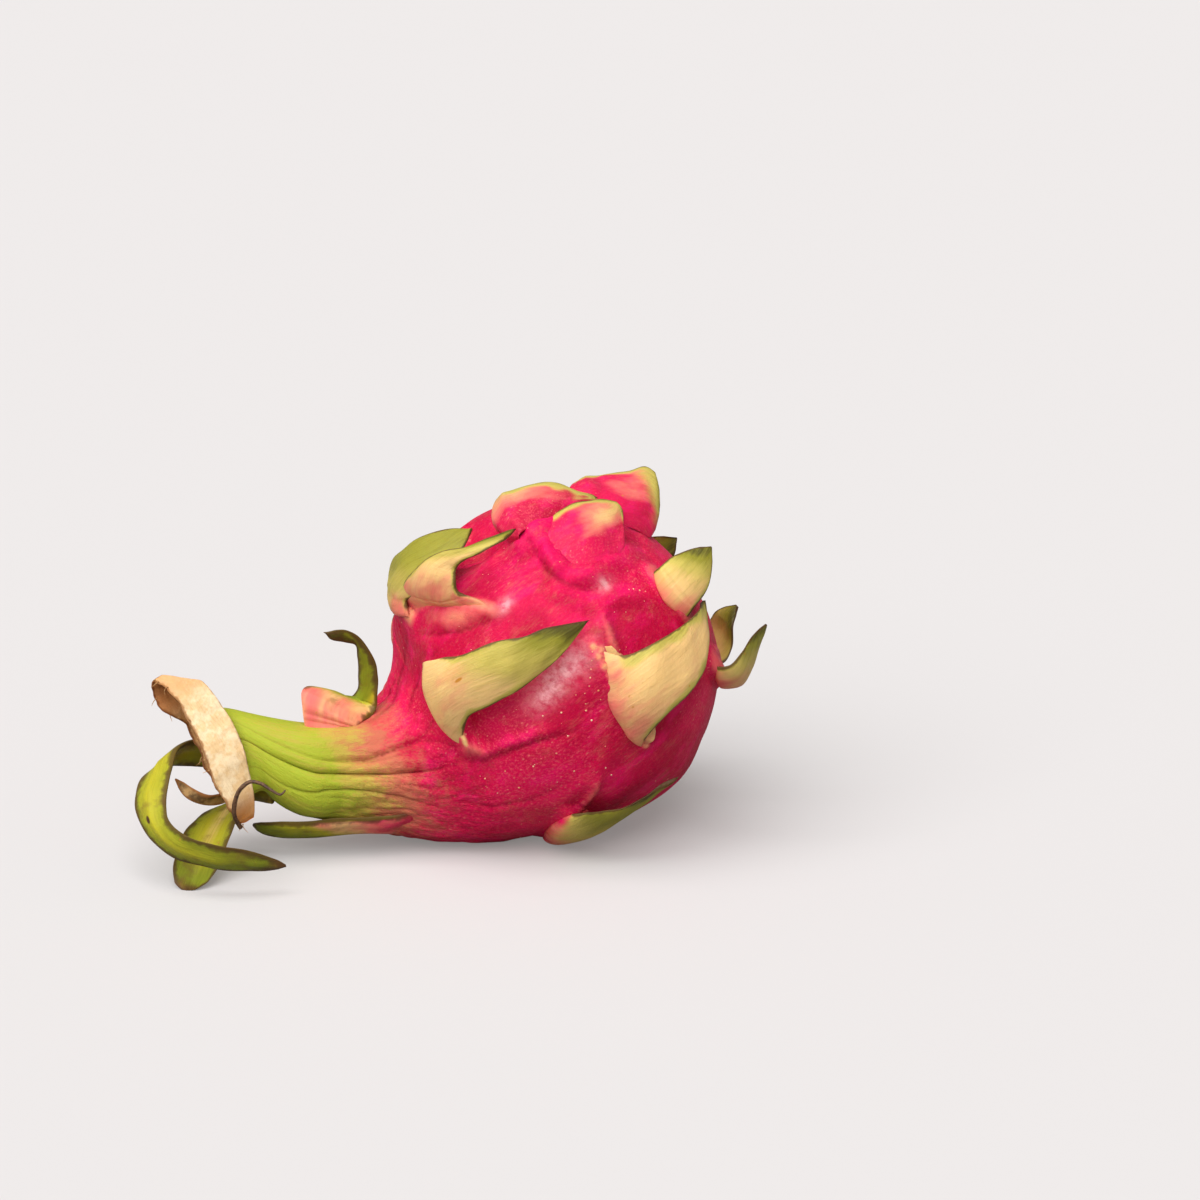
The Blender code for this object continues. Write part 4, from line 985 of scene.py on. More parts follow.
def skin_material(tones):
    """Waxy magenta skin that turns peach at the folds and green along the neck, with painted shade in its creases."""
    made, nodes, shader = new_material("pitaya_skin")
    grain = nodes.vector("grain")
    names = ("peach", "flesh", "green", "crease", "pale", "wrinkled")
    peach, flesh, green, crease, pale, wrinkled = (nodes.value(name) for name in names)
    colour = magenta_skin(nodes, tones, grain)
    # Raised flesh turns brighter vivid pink: partly its own colour, partly a painted highlight on the ridges
    colour = nodes.mix(nodes.ramp(flesh, 0.1, 1.0, 0, 0.6), colour, tones.vivid)
    patchy = nodes.ramp(nodes.noise(grain, 0.45, 5.0, 0.65), 0.3, 0.7, 0.15, 1.0)
    colour = nodes.mix(nodes.math("MULTIPLY", pale, patchy, True), colour, tones.pale)
    cloud = nodes.ramp(nodes.noise(grain, 0.18, 2.0), 0.3, 0.7, -0.10, 0.10)
    reach = nodes.math("ADD", peach, cloud)
    colour = nodes.mix(nodes.ramp(reach, 0.15, 0.7, 0, 0.85), colour, tones.blush)
    colour = nodes.mix(nodes.ramp(reach, 0.5, 1.0), colour, tones.peach)
    turned = nodes.add("ShaderNodeSeparateXYZ", {0: grain}).outputs
    length_wise = nodes.add("ShaderNodeCombineXYZ", {0: turned[0], 1: turned[2], 2: turned[1]}).outputs[0]
    fibres = use(nodes, fibre_group(), {"Vector": length_wise}, "Lines")
    shade = nodes.mix(1.0, colour, tones.wrinkle_shade, "MULTIPLY")
    colour = nodes.mix(nodes.math("MULTIPLY", nodes.ramp(fibres, 0.46, 0.60), nodes.math("MULTIPLY", wrinkled, 0.45)),
                       colour, shade)
    neck = nodes.math("ADD", green, nodes.ramp(fibres, 0.3, 0.7, -0.10, 0.10))
    neck = nodes.math("ADD", neck, nodes.ramp(nodes.noise(grain, 0.16, 3.0), 0.3, 0.7, -0.09, 0.09))
    colour = nodes.mix(nodes.ramp(neck, 0.0, 0.40, 0, 0.95), colour, tones.neck_red)
    colour = nodes.mix(nodes.ramp(neck, 0.40, 0.72), colour, tones.olive)
    colour = nodes.mix(nodes.ramp(neck, 0.70, 0.98), colour, tones.neck_green)
    colour = nodes.mix(nodes.ramp(nodes.math("MULTIPLY", peach, green), 0.15, 0.6), colour, tones.peach)
    # Painted shade: the skin is darkened along the neck's creases, the wrinkle valleys, the foot of the flesh and the
    # narrow grooves
    dark = nodes.mix(1.0, colour, tones.painted_crease_shade, "MULTIPLY")
    colour = nodes.mix(nodes.math("MULTIPLY", crease, 0.8), colour, dark)
    nodes.put(shader.inputs["Base Color"], colour)
    rough = nodes.noise(grain, 0.9, 3.0)
    nodes.put(shader.inputs["Roughness"], nodes.ramp(rough, 0.3, 0.7, 0.42, 0.6))
    shader.inputs["Specular IOR Level"].default_value = 0.1
    shader.inputs["Subsurface Weight"].default_value = 0.1
    shader.inputs["Subsurface Radius"].default_value = (1.0, 0.2, 0.12)
    shader.inputs["Subsurface Scale"].default_value = 0.003
    pores = use(nodes, speckle_group(), {"Vector": grain}, "Height")
    height = nodes.math("ADD", nodes.math("MULTIPLY", pores, 0.35), nodes.noise(grain, 0.9, 5.0, 0.6))
    lines = nodes.math("MULTIPLY", fibres, nodes.math("ADD", 0.25, nodes.math("MULTIPLY", wrinkled, 2.6)))
    add_bump(nodes, shader, nodes.math("ADD", height, lines), 0.5, 0.0004)
    return made


def leaf_material(name, tones, greens, brown_width, dryness, place, place_tone):
    """Fleshy scale or leaf: pink or peach at its base, then the greens, with a thin brown margin and painted shade on
    its inner faces.
    """
    made, nodes, shader = new_material(name)
    grain = nodes.vector("grain")
    green, pink, edge, inner = (nodes.value(key) for key in ("green", "pink", "edge", "inner"))
    fibres = use(nodes, fibre_group(), {"Vector": grain}, "Lines")
    blush = nodes.ramp(nodes.noise(nodes.stretch(grain, (1.0, 0.5, 1.0)), 0.16, 3.0), 0.3, 0.7, -0.22, 0.22)
    pinkness = nodes.math("ADD", pink, blush)
    base = nodes.mix(nodes.ramp(pinkness, 0.05, 0.6), tones.peach, tones.blush)
    base = nodes.mix(nodes.ramp(pinkness, 0.5, 1.0), base, magenta_skin(nodes, tones, grain))
    shade = nodes.math("ADD", green, nodes.ramp(fibres, 0.3, 0.7, -0.05, 0.05))
    colour = use(nodes, greening_group(), {
        "Green": shade, "Base": base, "Yellow green": greens[0], "Mid green": greens[1], "Dark green": greens[2]}, "Colour")
    streaks = nodes.mix(1.0, colour, (0.70, 0.62, 0.45), "MULTIPLY")
    colour = nodes.mix(nodes.ramp(fibres, 0.46, 0.68, 0, 0.3), colour, streaks)
    spots, tone = nodes.cells(grain, 0.3)
    spot = nodes.math("MULTIPLY", nodes.ramp(spots, 0.05, 0.13, 1, 0),
                      nodes.ramp(nodes.add("ShaderNodeSeparateColor", {0: tone}).outputs[1], 0.74, 0.8))
    colour = nodes.mix(nodes.math("MULTIPLY", spot, 0.7), colour, tones.rust)
    blotch = nodes.ramp(nodes.noise(grain, 0.13, 4.0, 0.6), 0.52, 0.70, 0, dryness)
    streaky = nodes.ramp(nodes.noise(nodes.stretch(grain, (1.0, 0.3, 1.0)), 0.7, 4.0, 0.6), 0.3, 0.6, 0.5, 1.0)
    withered = nodes.math("MULTIPLY", nodes.value("dry"), streaky)
    colour = nodes.mix(nodes.math("ADD", blotch, withered, True), colour, tones.dry)
    centre, (wide, long) = place
    away = nodes.add("ShaderNodeVectorMath", {0: grain, 1: centre}, operation="SUBTRACT").outputs[0]
    away = nodes.stretch(away, (1 / wide, 1 / long, 1.0))
    away = nodes.add("ShaderNodeVectorMath", {0: away}, operation="LENGTH").outputs["Value"]
    colour = nodes.mix(nodes.ramp(away, 0.6, 1.1, 1, 0), colour, place_tone)
    brown = use(nodes, browning_group(), {"Vector": grain, "Edge": edge, "Width": brown_width}, "Mask")
    colour = nodes.mix(nodes.math("MULTIPLY", brown, 0.85), colour, tones.margin)
    # Painted shade: the inner faces, which turn towards the body, are darkened
    under = nodes.mix(1.0, colour, tones.painted_underside_shade, "MULTIPLY")
    colour = nodes.mix(nodes.math("MULTIPLY", inner, 0.8), colour, under)
    nodes.put(shader.inputs["Base Color"], colour)
    rough = nodes.noise(grain, 0.8, 3.0)
    nodes.put(shader.inputs["Roughness"], nodes.ramp(rough, 0.3, 0.7, 0.42, 0.6))
    shader.inputs["Specular IOR Level"].default_value = 0.22
    shader.inputs["Subsurface Weight"].default_value = 0.1
    shader.inputs["Subsurface Radius"].default_value = (0.9, 0.5, 0.2)
    shader.inputs["Subsurface Scale"].default_value = 0.002
    height = nodes.math("ADD", nodes.math("MULTIPLY", fibres, 1.3), nodes.noise(grain, 0.7, 4.0, 0.6))
    add_bump(nodes, shader, height, 0.45, 0.0004)
    return made


def paper_material(name, main, pale, dark, rust, tones):
    """Dry papery skin with darker fibres, pale clouds, browned edges, and darker inner faces, partly their own orange
    brown and partly painted shade.
    """
    made, nodes, shader = new_material(name)
    grain = nodes.vector("grain")
    edge = nodes.value("edge")
    fibres = use(nodes, fibre_group(), {"Vector": grain}, "Lines")
    colour = nodes.mix(nodes.ramp(fibres, 0.28, 0.52, 0.25, 1), dark, main)
    cloud = nodes.noise(grain, 0.22, 4.0, 0.6)
    colour = nodes.mix(nodes.ramp(cloud, 0.42, 0.62, 0, 0.85), colour, pale)
    specks, _ = nodes.cells(grain, 0.75)
    colour = nodes.mix(nodes.ramp(specks, 0.0, 0.5, 0.55, 0), colour, pale)
    colour = nodes.mix(nodes.ramp(nodes.noise(grain, 1.3, 4.0, 0.7), 0.5, 0.75, 0, 0.4), colour, dark)
    low = nodes.value("low")
    colour = nodes.mix(nodes.math("MULTIPLY", low, nodes.ramp(cloud, 0.3, 0.6, 0.6, 1)), colour, rust)
    brown = use(nodes, browning_group(), {"Vector": grain, "Edge": edge, "Width": 0.6, "Grain": 0.5}, "Mask")
    colour = nodes.mix(nodes.math("MULTIPLY", brown, 0.85), colour, tones.paper_edge)
    # Inner faces darker and more orange: partly the inner layer's own colour, partly painted shade
    inside = nodes.mix(1.0, colour, tones.paper_inside_with_shade, "MULTIPLY")
    colour = nodes.mix(nodes.value("inner"), colour, inside)
    nodes.put(shader.inputs["Base Color"], colour)
    nodes.put(shader.inputs["Roughness"], nodes.ramp(cloud, 0.3, 0.7, 0.6, 0.82))
    shader.inputs["Specular IOR Level"].default_value = 0.3
    height = nodes.math("ADD", nodes.math("MULTIPLY", fibres, 0.9), nodes.noise(grain, 0.6, 5.0, 0.65))
    add_bump(nodes, shader, height, 0.6, 0.0005)
    return made


def thread_material(name, main, marks):
    """Dry thread or bead of one colour with marks of another."""
    made, nodes, shader = new_material(name)
    place = nodes.add("ShaderNodeTexCoord").outputs["Object"]
    spots = nodes.noise(place, 1500.0, 4.0)
    nodes.put(shader.inputs["Base Color"], nodes.mix(nodes.ramp(spots, 0.35, 0.65), main, marks))
    nodes.put(shader.inputs["Roughness"], nodes.ramp(spots, 0.3, 0.7, 0.45, 0.7))
    add_bump(nodes, shader, spots, 0.6, 0.0003)
    return made


def floor_material(tones):
    """Pale floor that throws little of its light back up at the fruit."""
    made, nodes, shader = new_material("pale_floor")
    place = nodes.add("ShaderNodeTexCoord").outputs["Object"]
    cloud = nodes.noise(place, 3.0, 2.0)
    light = tuple(min(1.0, c * 1.005) for c in tones.floor)
    seen = nodes.mix(cloud, tones.floor, light)
    straight = nodes.add("ShaderNodeLightPath").outputs["Is Camera Ray"]
    nodes.put(shader.inputs["Base Color"], nodes.mix(straight, tones.floor_bounce, seen))
    nodes.put(shader.inputs["Emission Color"], nodes.mix(straight, (0, 0, 0), tones.floor_lift))
    shader.inputs["Emission Strength"].default_value = 1.0
    shader.inputs["Roughness"].default_value = 0.9
    shader.inputs["Specular IOR Level"].default_value = 0.0
    return made


def tone(name, description, colour):
    return FloatVectorProperty(name=name, description=description, subtype="COLOR", size=3, min=0, max=1, default=colour)


class PitayaShape(PropertyGroup):
    """Fineness and relief of the fruit."""

    body_rows: IntProperty(name="Body rows", description="Rings of the skin from stem to neck", default=236, min=20)
    body_columns: IntProperty(name="Body columns", description="Points round each ring", default=348, min=20)
    blade_rows: IntProperty(name="Scale rows", description="Rows along a scale", default=64, min=8)
    blade_columns: IntProperty(name="Scale columns", description="Points across a scale", default=22, min=5)
    wrinkle: FloatProperty(name="Wrinkles", description="Strength of the long wrinkles", default=1.0, min=0)
    dimple: FloatProperty(name="Dimples", description="Strength of the soft dimples", default=1.0, min=0)
    style_radius: FloatProperty(name="Style radius", description="Radius of the dried thread", default=0.00058,
                                unit="LENGTH")


class PitayaColours(PropertyGroup):
    """Colours of the fruit, its dried parts and the floor."""

    skin: tone("Skin", "Magenta skin", (0.72, 0.004, 0.076))
    deep: tone("Deep skin", "Darker clouds of the skin", (0.52, 0.002, 0.044))
    # Also the brighter pink of raised flesh, partly its own colour and partly painted highlight
    vivid: tone("Vivid streaks", "Bright pink streaks", (0.86, 0.006, 0.130))
    mottling: tone("Mottling", "Fine pale mottling of the skin", (0.88, 0.13, 0.15))
    speckle: tone("Speckle", "Small pale dots in the skin", (0.90, 0.34, 0.24))
    fleck: tone("Flecks", "Small cream flecks", (0.84, 0.30, 0.12))
    pale: tone("Pale patches", "Rubbed pale patches", (0.96, 0.46, 0.48))
    peach: tone("Peach", "Folds of the scales", (0.88, 0.56, 0.22))
    blush: tone("Blush", "Pink of the scales and folds", (0.85, 0.19, 0.15))
    neck_red: tone("Neck red", "Dull red of the neck", (0.55, 0.16, 0.085))
    olive: tone("Olive", "Middle of the neck", (0.50, 0.37, 0.065))
    neck_green: tone("Neck green", "Neck beside the collar", (0.38, 0.43, 0.032))
    wrinkle_shade: tone("Wrinkle shade", "Tint of the wrinkles", (0.66, 0.55, 0.55))
    # Painted shade laid into the creases and grooves of the skin
    painted_crease_shade: tone("Crease shade", "Tint of the creases", (0.34, 0.20, 0.18))
    yellow_green: tone("Yellow green", "Middle of a scale", (0.60, 0.48, 0.105))
    mid_green: tone("Green", "Upper part of a scale", (0.30, 0.275, 0.028))
    dark_green: tone("Dark green", "Tip of a scale", (0.085, 0.075, 0.010))
    leaf_light: tone("Light leaf", "Light parts of the neck's leaves", (0.48, 0.42, 0.020))
    leaf_mid: tone("Leaf", "The neck's leaves", (0.23, 0.26, 0.014))
    leaf_dark: tone("Dark leaf", "Dark parts of the neck's leaves", (0.085, 0.085, 0.007))
    margin: tone("Margin", "Dry brown margin", (0.085, 0.035, 0.012))
    rust: tone("Rust spots", "Small orange spots", (0.62, 0.26, 0.04))
    dry: tone("Dry blotches", "Dried blotches on leaves", (0.19, 0.10, 0.022))
    # Painted shade of the inner faces of scales and leaves
    painted_underside_shade: tone("Underside", "Tint of the inner faces", (0.62, 0.55, 0.55))
    paper: tone("Paper", "Dried collar", (0.80, 0.55, 0.28))
    paper_pale: tone("Pale paper", "Light clouds of the collar", (0.90, 0.72, 0.46))
    paper_dark: tone("Dark paper", "Fibres of the collar", (0.58, 0.34, 0.13))
    paper_edge: tone("Paper edge", "Browned rim of the collar", (0.30, 0.11, 0.025))
    paper_rust: tone("Rusty paper", "Orange lower fold of the collar", (0.62, 0.23, 0.045))
    # Inside of the collar: partly its own orange brown, partly painted shade
    paper_inside_with_shade: tone("Inside", "Tint of the collar's inside", (0.6, 0.42, 0.28))
    strip: tone("Strip", "Dried strip behind the collar", (0.16, 0.085, 0.03))
    thread: tone("Thread", "Dried style", (0.050, 0.020, 0.009))
    thread_light: tone("Thread, light", "Lighter marks on the style", (0.15, 0.07, 0.03))
    floor: tone("Floor", "Pale floor", (0.480, 0.466, 0.466))
    floor_lift: tone("Floor in shade", "Least brightness of the floor in the picture", (0.205, 0.194, 0.188))
    floor_bounce: tone("Floor's light", "What the floor throws back", (0.26, 0.25, 0.25))
    backdrop: tone("Backdrop", "What shows above the floor", (0.871, 0.838, 0.831))


class PitayaStage(PropertyGroup):
    """Floor, camera and lights."""

    lens: FloatProperty(name="Lens", description="Focal length on a 36 mm sensor", default=LENS, unit="CAMERA")
    camera_at: FloatVectorProperty(name="Camera", description="Where the camera stands", subtype="TRANSLATION",
                                   size=3, default=tuple(c * MM for c in CAMERA_AT))
    look_at: FloatVectorProperty(name="Aim", description="The point it looks at", subtype="TRANSLATION",
                                 size=3, default=tuple(c * MM for c in LOOK_AT))
    key: FloatProperty(name="Key light", description="Strength of the soft light from the upper left", default=4.3)
    key_from: FloatVectorProperty(name="Key from", description="Where the key light comes from", size=3,
                                  subtype="DIRECTION", default=(-0.32, -0.64, 0.95))
    fill: FloatProperty(name="Fill light", description="Strength of the light from the right", default=0.12)
    fill_from: FloatVectorProperty(name="Fill from", description="Where the fill light comes from", size=3,
                                   subtype="DIRECTION", default=(0.8, -0.9, 0.5))
    sky: FloatProperty(name="Sky", description="Strength of the even light from all sides", default=0.27)


class PITAYA_OT_body(Operator):
    """Grow the skin of the body and the neck"""

    bl_idname = "pitaya.body"
    bl_label = "Body and neck"

    def execute(self, context):
        size = context.scene.pitaya_shape
        spread = np.linspace(-1, 1, size.body_rows)
        dense = np.interp(spread, (-1, -0.84, 0.62, 1), (STEM_END + 0.1, -36, 62, NECK_END))
        phi = np.arange(size.body_columns) * 360 / size.body_columns
        s, phi = np.meshgrid(dense, phi, indexing="ij")
        grid, values = body_points(s, phi, size)
        stem = SPINE.at(np.array(STEM_END + 1.6))[0]
        points, faces = closed_grid(grid, stem, grid[-1].mean(0))
        ends = {}
        for key, value in values.items():
            flat = value.reshape(len(points) - 2, -1)
            ends[key] = np.concatenate([flat, flat[:1], flat[-1:]]).squeeze()
        skin = Mesh()
        skin.add(points, faces, **ends)
        item = skin.build("fruit_skin", skin_material(context.scene.pitaya_colours))
        carry(item, "skin", "fruit")
        return {"FINISHED"}


class PITAYA_OT_scales(Operator):
    """Grow the scales that fold back over the body"""

    bl_idname = "pitaya.scales"
    bl_label = "Scales"

    def execute(self, context):
        size, tones = context.scene.pitaya_shape, context.scene.pitaya_colours
        scales = Mesh()
        for number, (name, rows) in enumerate(body_scales()):
            ring, values = blade(scale_margins(rows, name in ROOTED), size.blade_rows, size.blade_columns,
                                 TINTS.get(name, TINT_HIDDEN), mark=number + 1, bow=BOW.get(name, BOW_HIDDEN))
            if name in SPOTS:
                spot = spot_place(SPOTS[name], values["grain"])
            flat = {key: value.reshape(ring.shape[0] * ring.shape[1], -1).squeeze() for key, value in values.items()}
            scales.add(ring.reshape(-1, 3), blade_faces(ring), **flat)
        greens = (tones.yellow_green, tones.mid_green, tones.dark_green)
        item = scales.build("scales", leaf_material("scale", tones, greens, 0.42, 0.08, spot, tones.rust))
        carry(item, "skin", "fruit")
        return {"FINISHED"}


class PITAYA_OT_leaves(Operator):
    """Grow the leaves of the neck"""

    bl_idname = "pitaya.leaves"
    bl_label = "Neck leaves"

    def execute(self, context):
        size, tones = context.scene.pitaya_shape, context.scene.pitaya_colours
        leaves = Mesh()
        parts = [
            (scale_margins(SCALES["neck_under"], True), TINTS["neck_under"], 1.8, 0.0, 0.2, 0.0, 0.5),
            (scale_margins(SCALES["neck_top"], True), TINTS["neck_top"], 1.8, 0.0, 0.0, 0.0, 0.3),
            (leaf_margins(LEAF_SHORT, LEAF_SHORT_SIDE), TINT_LEAF, 2.4, -0.2, 0.7, 0.5, 0.0),
            (leaf_margins(LEAF_LONG, LEAF_LONG_SIDE), TINT_LEAF, 2.4, 0.36, 1.0, 0.3, 0.0),
        ]
        for number, (margins, tint, root, keel, dry, heart, underside_shade_share) in enumerate(parts):
            ring, values = blade(margins, 2 * size.blade_rows, size.blade_columns, tint, root, keel, 41 + number,
                                 dry=dry, heart=heart, underside_shade_share=underside_shade_share)
            flat = {key: value.reshape(ring.shape[0] * ring.shape[1], -1).squeeze() for key, value in values.items()}
            leaves.add(ring.reshape(-1, 3), blade_faces(ring), **flat)
        spot = spot_place(SPOTS["leaf_long"], values["grain"])
        greens = (tones.leaf_light, tones.leaf_mid, tones.leaf_dark)
        item = leaves.build("neck_leaves", leaf_material("neck_leaf", tones, greens, 1.4, 0.6, spot, tones.margin))
        carry(item, "skin", "fruit")
        return {"FINISHED"}


def collar_ring(angle):
    """Outline of the dried collar at each angle: its middle, its two rims along its axis, and its outward way."""
    down, out, back = collar_axes()
    along, at_neck, rim = zip(*COLLAR_EDGES)
    width, across = ring_lens(angle, COLLAR_LENGTH, COLLAR_DEPTH)
    place = np.stack([width, across, angle * 0], 1)
    ragged = 0.45 * noise(place, 3.2, 21) + 0.2 * noise(place, 1.0, 22)
    near = curve(-width, along, at_neck)
    shorter = COLLAR_BACK * (1 - 1.6 * smooth(width, 7, 15))
    far = curve(-width, along, rim) + ragged - shorter * smooth(-np.sin(angle), 0, 0.7)
    middle = np.array(COLLAR_CENTRE) - down * width[:, None] - back * across[:, None]
    face = unit(back * np.gradient(width)[:, None] - down * np.gradient(across)[:, None])
    return middle, near, far, face, width, across


class PITAYA_OT_collar(Operator):
    """Make the papery collar of the dead flower"""

    bl_idname = "pitaya.collar"
    bl_label = "Dried collar"

    def execute(self, context):
        tones = context.scene.pitaya_colours
        columns, rows = 240, 28
        angle = np.arange(columns) * 2 * math.pi / columns
        middle, near, far, face, width, across = collar_ring(angle)
        out = collar_axes()[1]
        t = np.linspace(0, 1, rows)[:, None]
        depth = near + (far - near) * t
        fold = np.stack([width + t * 0, across + t * 0, depth * 0.8], -1)
        crumple = (0.55 * noise(fold, 5.5, 23) + 0.12 * noise(fold * (1, 1, 0.5), 1.3, 24)
                   + 0.6 * smooth(t, 0.6, 1.0) * noise(fold, 4.5, 25))
        middle = middle[None] + out * depth[..., None] - face[None] * (COLLAR_WALL * 0.8 + 0.3)
        thick = (COLLAR_WALL * (1 - 0.55 * smooth(t, 0.6, 1.0))) / 2
        outer = middle + face[None] * (crumple + thick)[..., None]
        inner = middle + face[None] * (crumple - thick)[..., None]
        ring = np.concatenate([outer, inner[::-1]], 0)
        total = 2 * rows
        i, j = np.meshgrid(np.arange(total), np.arange(columns), indexing="ij")
        k, m = (j + 1) % columns, (i + 1) % total
        faces = np.stack([i * columns + j, i * columns + k, m * columns + k, m * columns + j], -1).reshape(-1, 4).tolist()
        arc = np.concatenate([[0], np.cumsum(np.hypot(np.diff(width), np.diff(across)))])
        grain = np.stack([depth + 0 * arc, arc + 0 * depth, 0 * depth], -1)
        edge = np.minimum((far - near) * (1 - t), (far - near) * t + 0.6)
        low = np.maximum(smooth(-width, 13, 21), 0.6 * smooth(width, 9, 17))[None] + 0 * t
        inside = np.concatenate([np.zeros((rows, columns)), np.ones((rows, columns))])

        def both(values):
            return np.concatenate([values, values[::-1]], 0)

        paper = Mesh()
        paper.add(ring.reshape(-1, 3), faces, grain=both(grain).reshape(-1, 3), edge=both(edge).ravel(),
                  low=both(low).ravel(), inner=inside.ravel())
        surface = paper_material("dried_paper", tones.paper, tones.paper_pale, tones.paper_dark, tones.paper_rust, tones)
        item = paper.build("collar_paper", surface)
        carry(item, "dried_paper", "dried_collar")
        strip = Mesh()
        ring, values = blade(leaf_margins(STRIP, STRIP_SIDE), context.scene.pitaya_shape.blade_rows, 14, TINT_LEAF,
                             1.2, 0.3, 61)
        strip.add(ring.reshape(-1, 3), blade_faces(ring), grain=values["grain"].reshape(-1, 3),
                  edge=values["edge"].ravel(), inner=values["inner"].ravel(), low=np.zeros(values["inner"].size))
        surface = paper_material("dried_strip", tones.strip, tones.paper_dark, tones.thread, tones.strip, tones)
        carry(strip.build("dried_strip", surface), "dried_paper")
        return {"FINISHED"}


def geometry_tree(name, inputs):
    """A Geometry Nodes tree with named inputs, and its helper."""
    tree = bpy.data.node_groups.new(name, "GeometryNodeTree")
    tree.interface.new_socket("Geometry", in_out="INPUT", socket_type="NodeSocketGeometry")
    for label, kind, default in inputs:
        socket = tree.interface.new_socket(label, in_out="INPUT", socket_type="NodeSocket" + kind)
        if default is not None:
            socket.default_value = default
    tree.interface.new_socket("Geometry", in_out="OUTPUT", socket_type="NodeSocketGeometry")
    nodes = Nodes(tree)
    return tree, nodes, tree.nodes.new("NodeGroupInput").outputs, tree.nodes.new("NodeGroupOutput").inputs


def grow(item, tree, values):
    """Runs the tree on the item and leaves a plain mesh, with the modifier removed."""
    modifier = item.modifiers.new(tree.name, "NODES")
    modifier.node_group = tree
    for socket in tree.interface.items_tree:
        if socket.in_out == "INPUT" and socket.name in values:
            modifier[socket.identifier] = values[socket.name]
    graph = bpy.context.evaluated_depsgraph_get()
    mesh = bpy.data.meshes.new_from_object(item.evaluated_get(graph))
    item.modifiers.clear()
    item.data = mesh
    bpy.data.node_groups.remove(tree)


def loose_mesh(name, places, edges=(), **values):
    """An object of points and edges at places in the fruit's millimetres, with values on its points."""
    mesh = bpy.data.meshes.new(name)
    mesh.from_pydata(((np.asarray(places) - np.array(ORIGIN)) * MM).tolist(), list(edges), [])
    for key, data in values.items():
        data = np.asarray(data, np.float32)
        kind, field = ("FLOAT", "value") if data.ndim == 1 else ("FLOAT_VECTOR", "vector")
        mesh.attributes.new(key, kind, "POINT").data.foreach_set(field, data.ravel())
    item = bpy.data.objects.new(name, mesh)
    bpy.context.scene.collection.objects.link(item)
    return item


def thread_tree(surface):
    """Turns lines into tapered, slightly rough threads."""
    tree, nodes, given, result = geometry_tree("Threads along lines", [
        ("Radius", "Float", 0.0006), ("Sides", "Int", 14), ("Steps", "Int", 130), ("Roughness", "Float", 0.5),
        ("Seed", "Float", 3.0)])
    line = nodes.add("GeometryNodeMeshToCurve", {"Mesh": given["Geometry"]}).outputs[0]
    line = nodes.add("GeometryNodeResampleCurve", {"Curve": line, "Count": given["Steps"]}).outputs[0]
    share = nodes.add("GeometryNodeSplineParameter").outputs["Factor"]
    taper = nodes.math("SUBTRACT", 1.0, nodes.math("MULTIPLY", nodes.math("POWER", share, 3.0), 0.6))
    place = nodes.add("GeometryNodeInputPosition").outputs[0]
    rough = nodes.add("ShaderNodeTexNoise", {"Vector": place, "W": given["Seed"], "Scale": 420.0, "Detail": 3.0},
                      noise_dimensions="4D").outputs["Fac"]
    swell = nodes.math("ADD", 1.0, nodes.math("MULTIPLY", nodes.math("SUBTRACT", rough, 0.5), given["Roughness"]))
    thick = nodes.math("MULTIPLY", nodes.math("MULTIPLY", taper, swell), given["Radius"])
    circle = nodes.add("GeometryNodeCurvePrimitiveCircle", {"Resolution": given["Sides"], "Radius": 1.0})
    tube = nodes.add("GeometryNodeCurveToMesh", {
        "Curve": line, "Profile Curve": circle.outputs[0], "Scale": thick, "Fill Caps": True}).outputs[0]
    finish_tree(nodes, tube, surface, result)
    return tree


def fleck_tree(surface):
    """Sets a small flat bead on each point, turned the way the skin faces."""
    tree, nodes, given, result = geometry_tree("Flecks on the skin", [("Flatness", "Float", 0.45), ("Size", "Float", 0.001)])
    points = nodes.add("GeometryNodeMeshToPoints", {"Mesh": given["Geometry"]}).outputs[0]
    bead = nodes.add("GeometryNodeMeshIcoSphere", {"Radius": 1.0, "Subdivisions": 2}).outputs[0]
    facing = nodes.add("GeometryNodeInputNamedAttribute", {"Name": "facing"}, data_type="FLOAT_VECTOR").outputs[0]
    size = nodes.add("GeometryNodeInputNamedAttribute", {"Name": "size"}, data_type="FLOAT").outputs[0]
    turn = nodes.add("FunctionNodeAlignRotationToVector", {"Vector": facing}, axis="Z").outputs[0]
    wide = nodes.math("MULTIPLY", size, given["Size"])
    scale = nodes.add("ShaderNodeCombineXYZ", {0: wide, 1: wide, 2: nodes.math("MULTIPLY", wide, given["Flatness"])})
    beads = nodes.add("GeometryNodeInstanceOnPoints", {
        "Points": points, "Instance": bead, "Rotation": turn, "Scale": scale.outputs[0]}).outputs[0]
    finish_tree(nodes, beads, surface, result)
    return tree


def finish_tree(nodes, shape, surface, result):
    """Realizes, smooths and colours what a tree has made."""
    shape = nodes.add("GeometryNodeSetShadeSmooth", {"Geometry": shape}).outputs[0]
    shape = nodes.add("GeometryNodeRealizeInstances", {"Geometry": shape}).outputs[0]
    shape = nodes.add("GeometryNodeSetMaterial", {"Geometry": shape, "Material": surface}).outputs[0]
    nodes.put(result["Geometry"], shape)


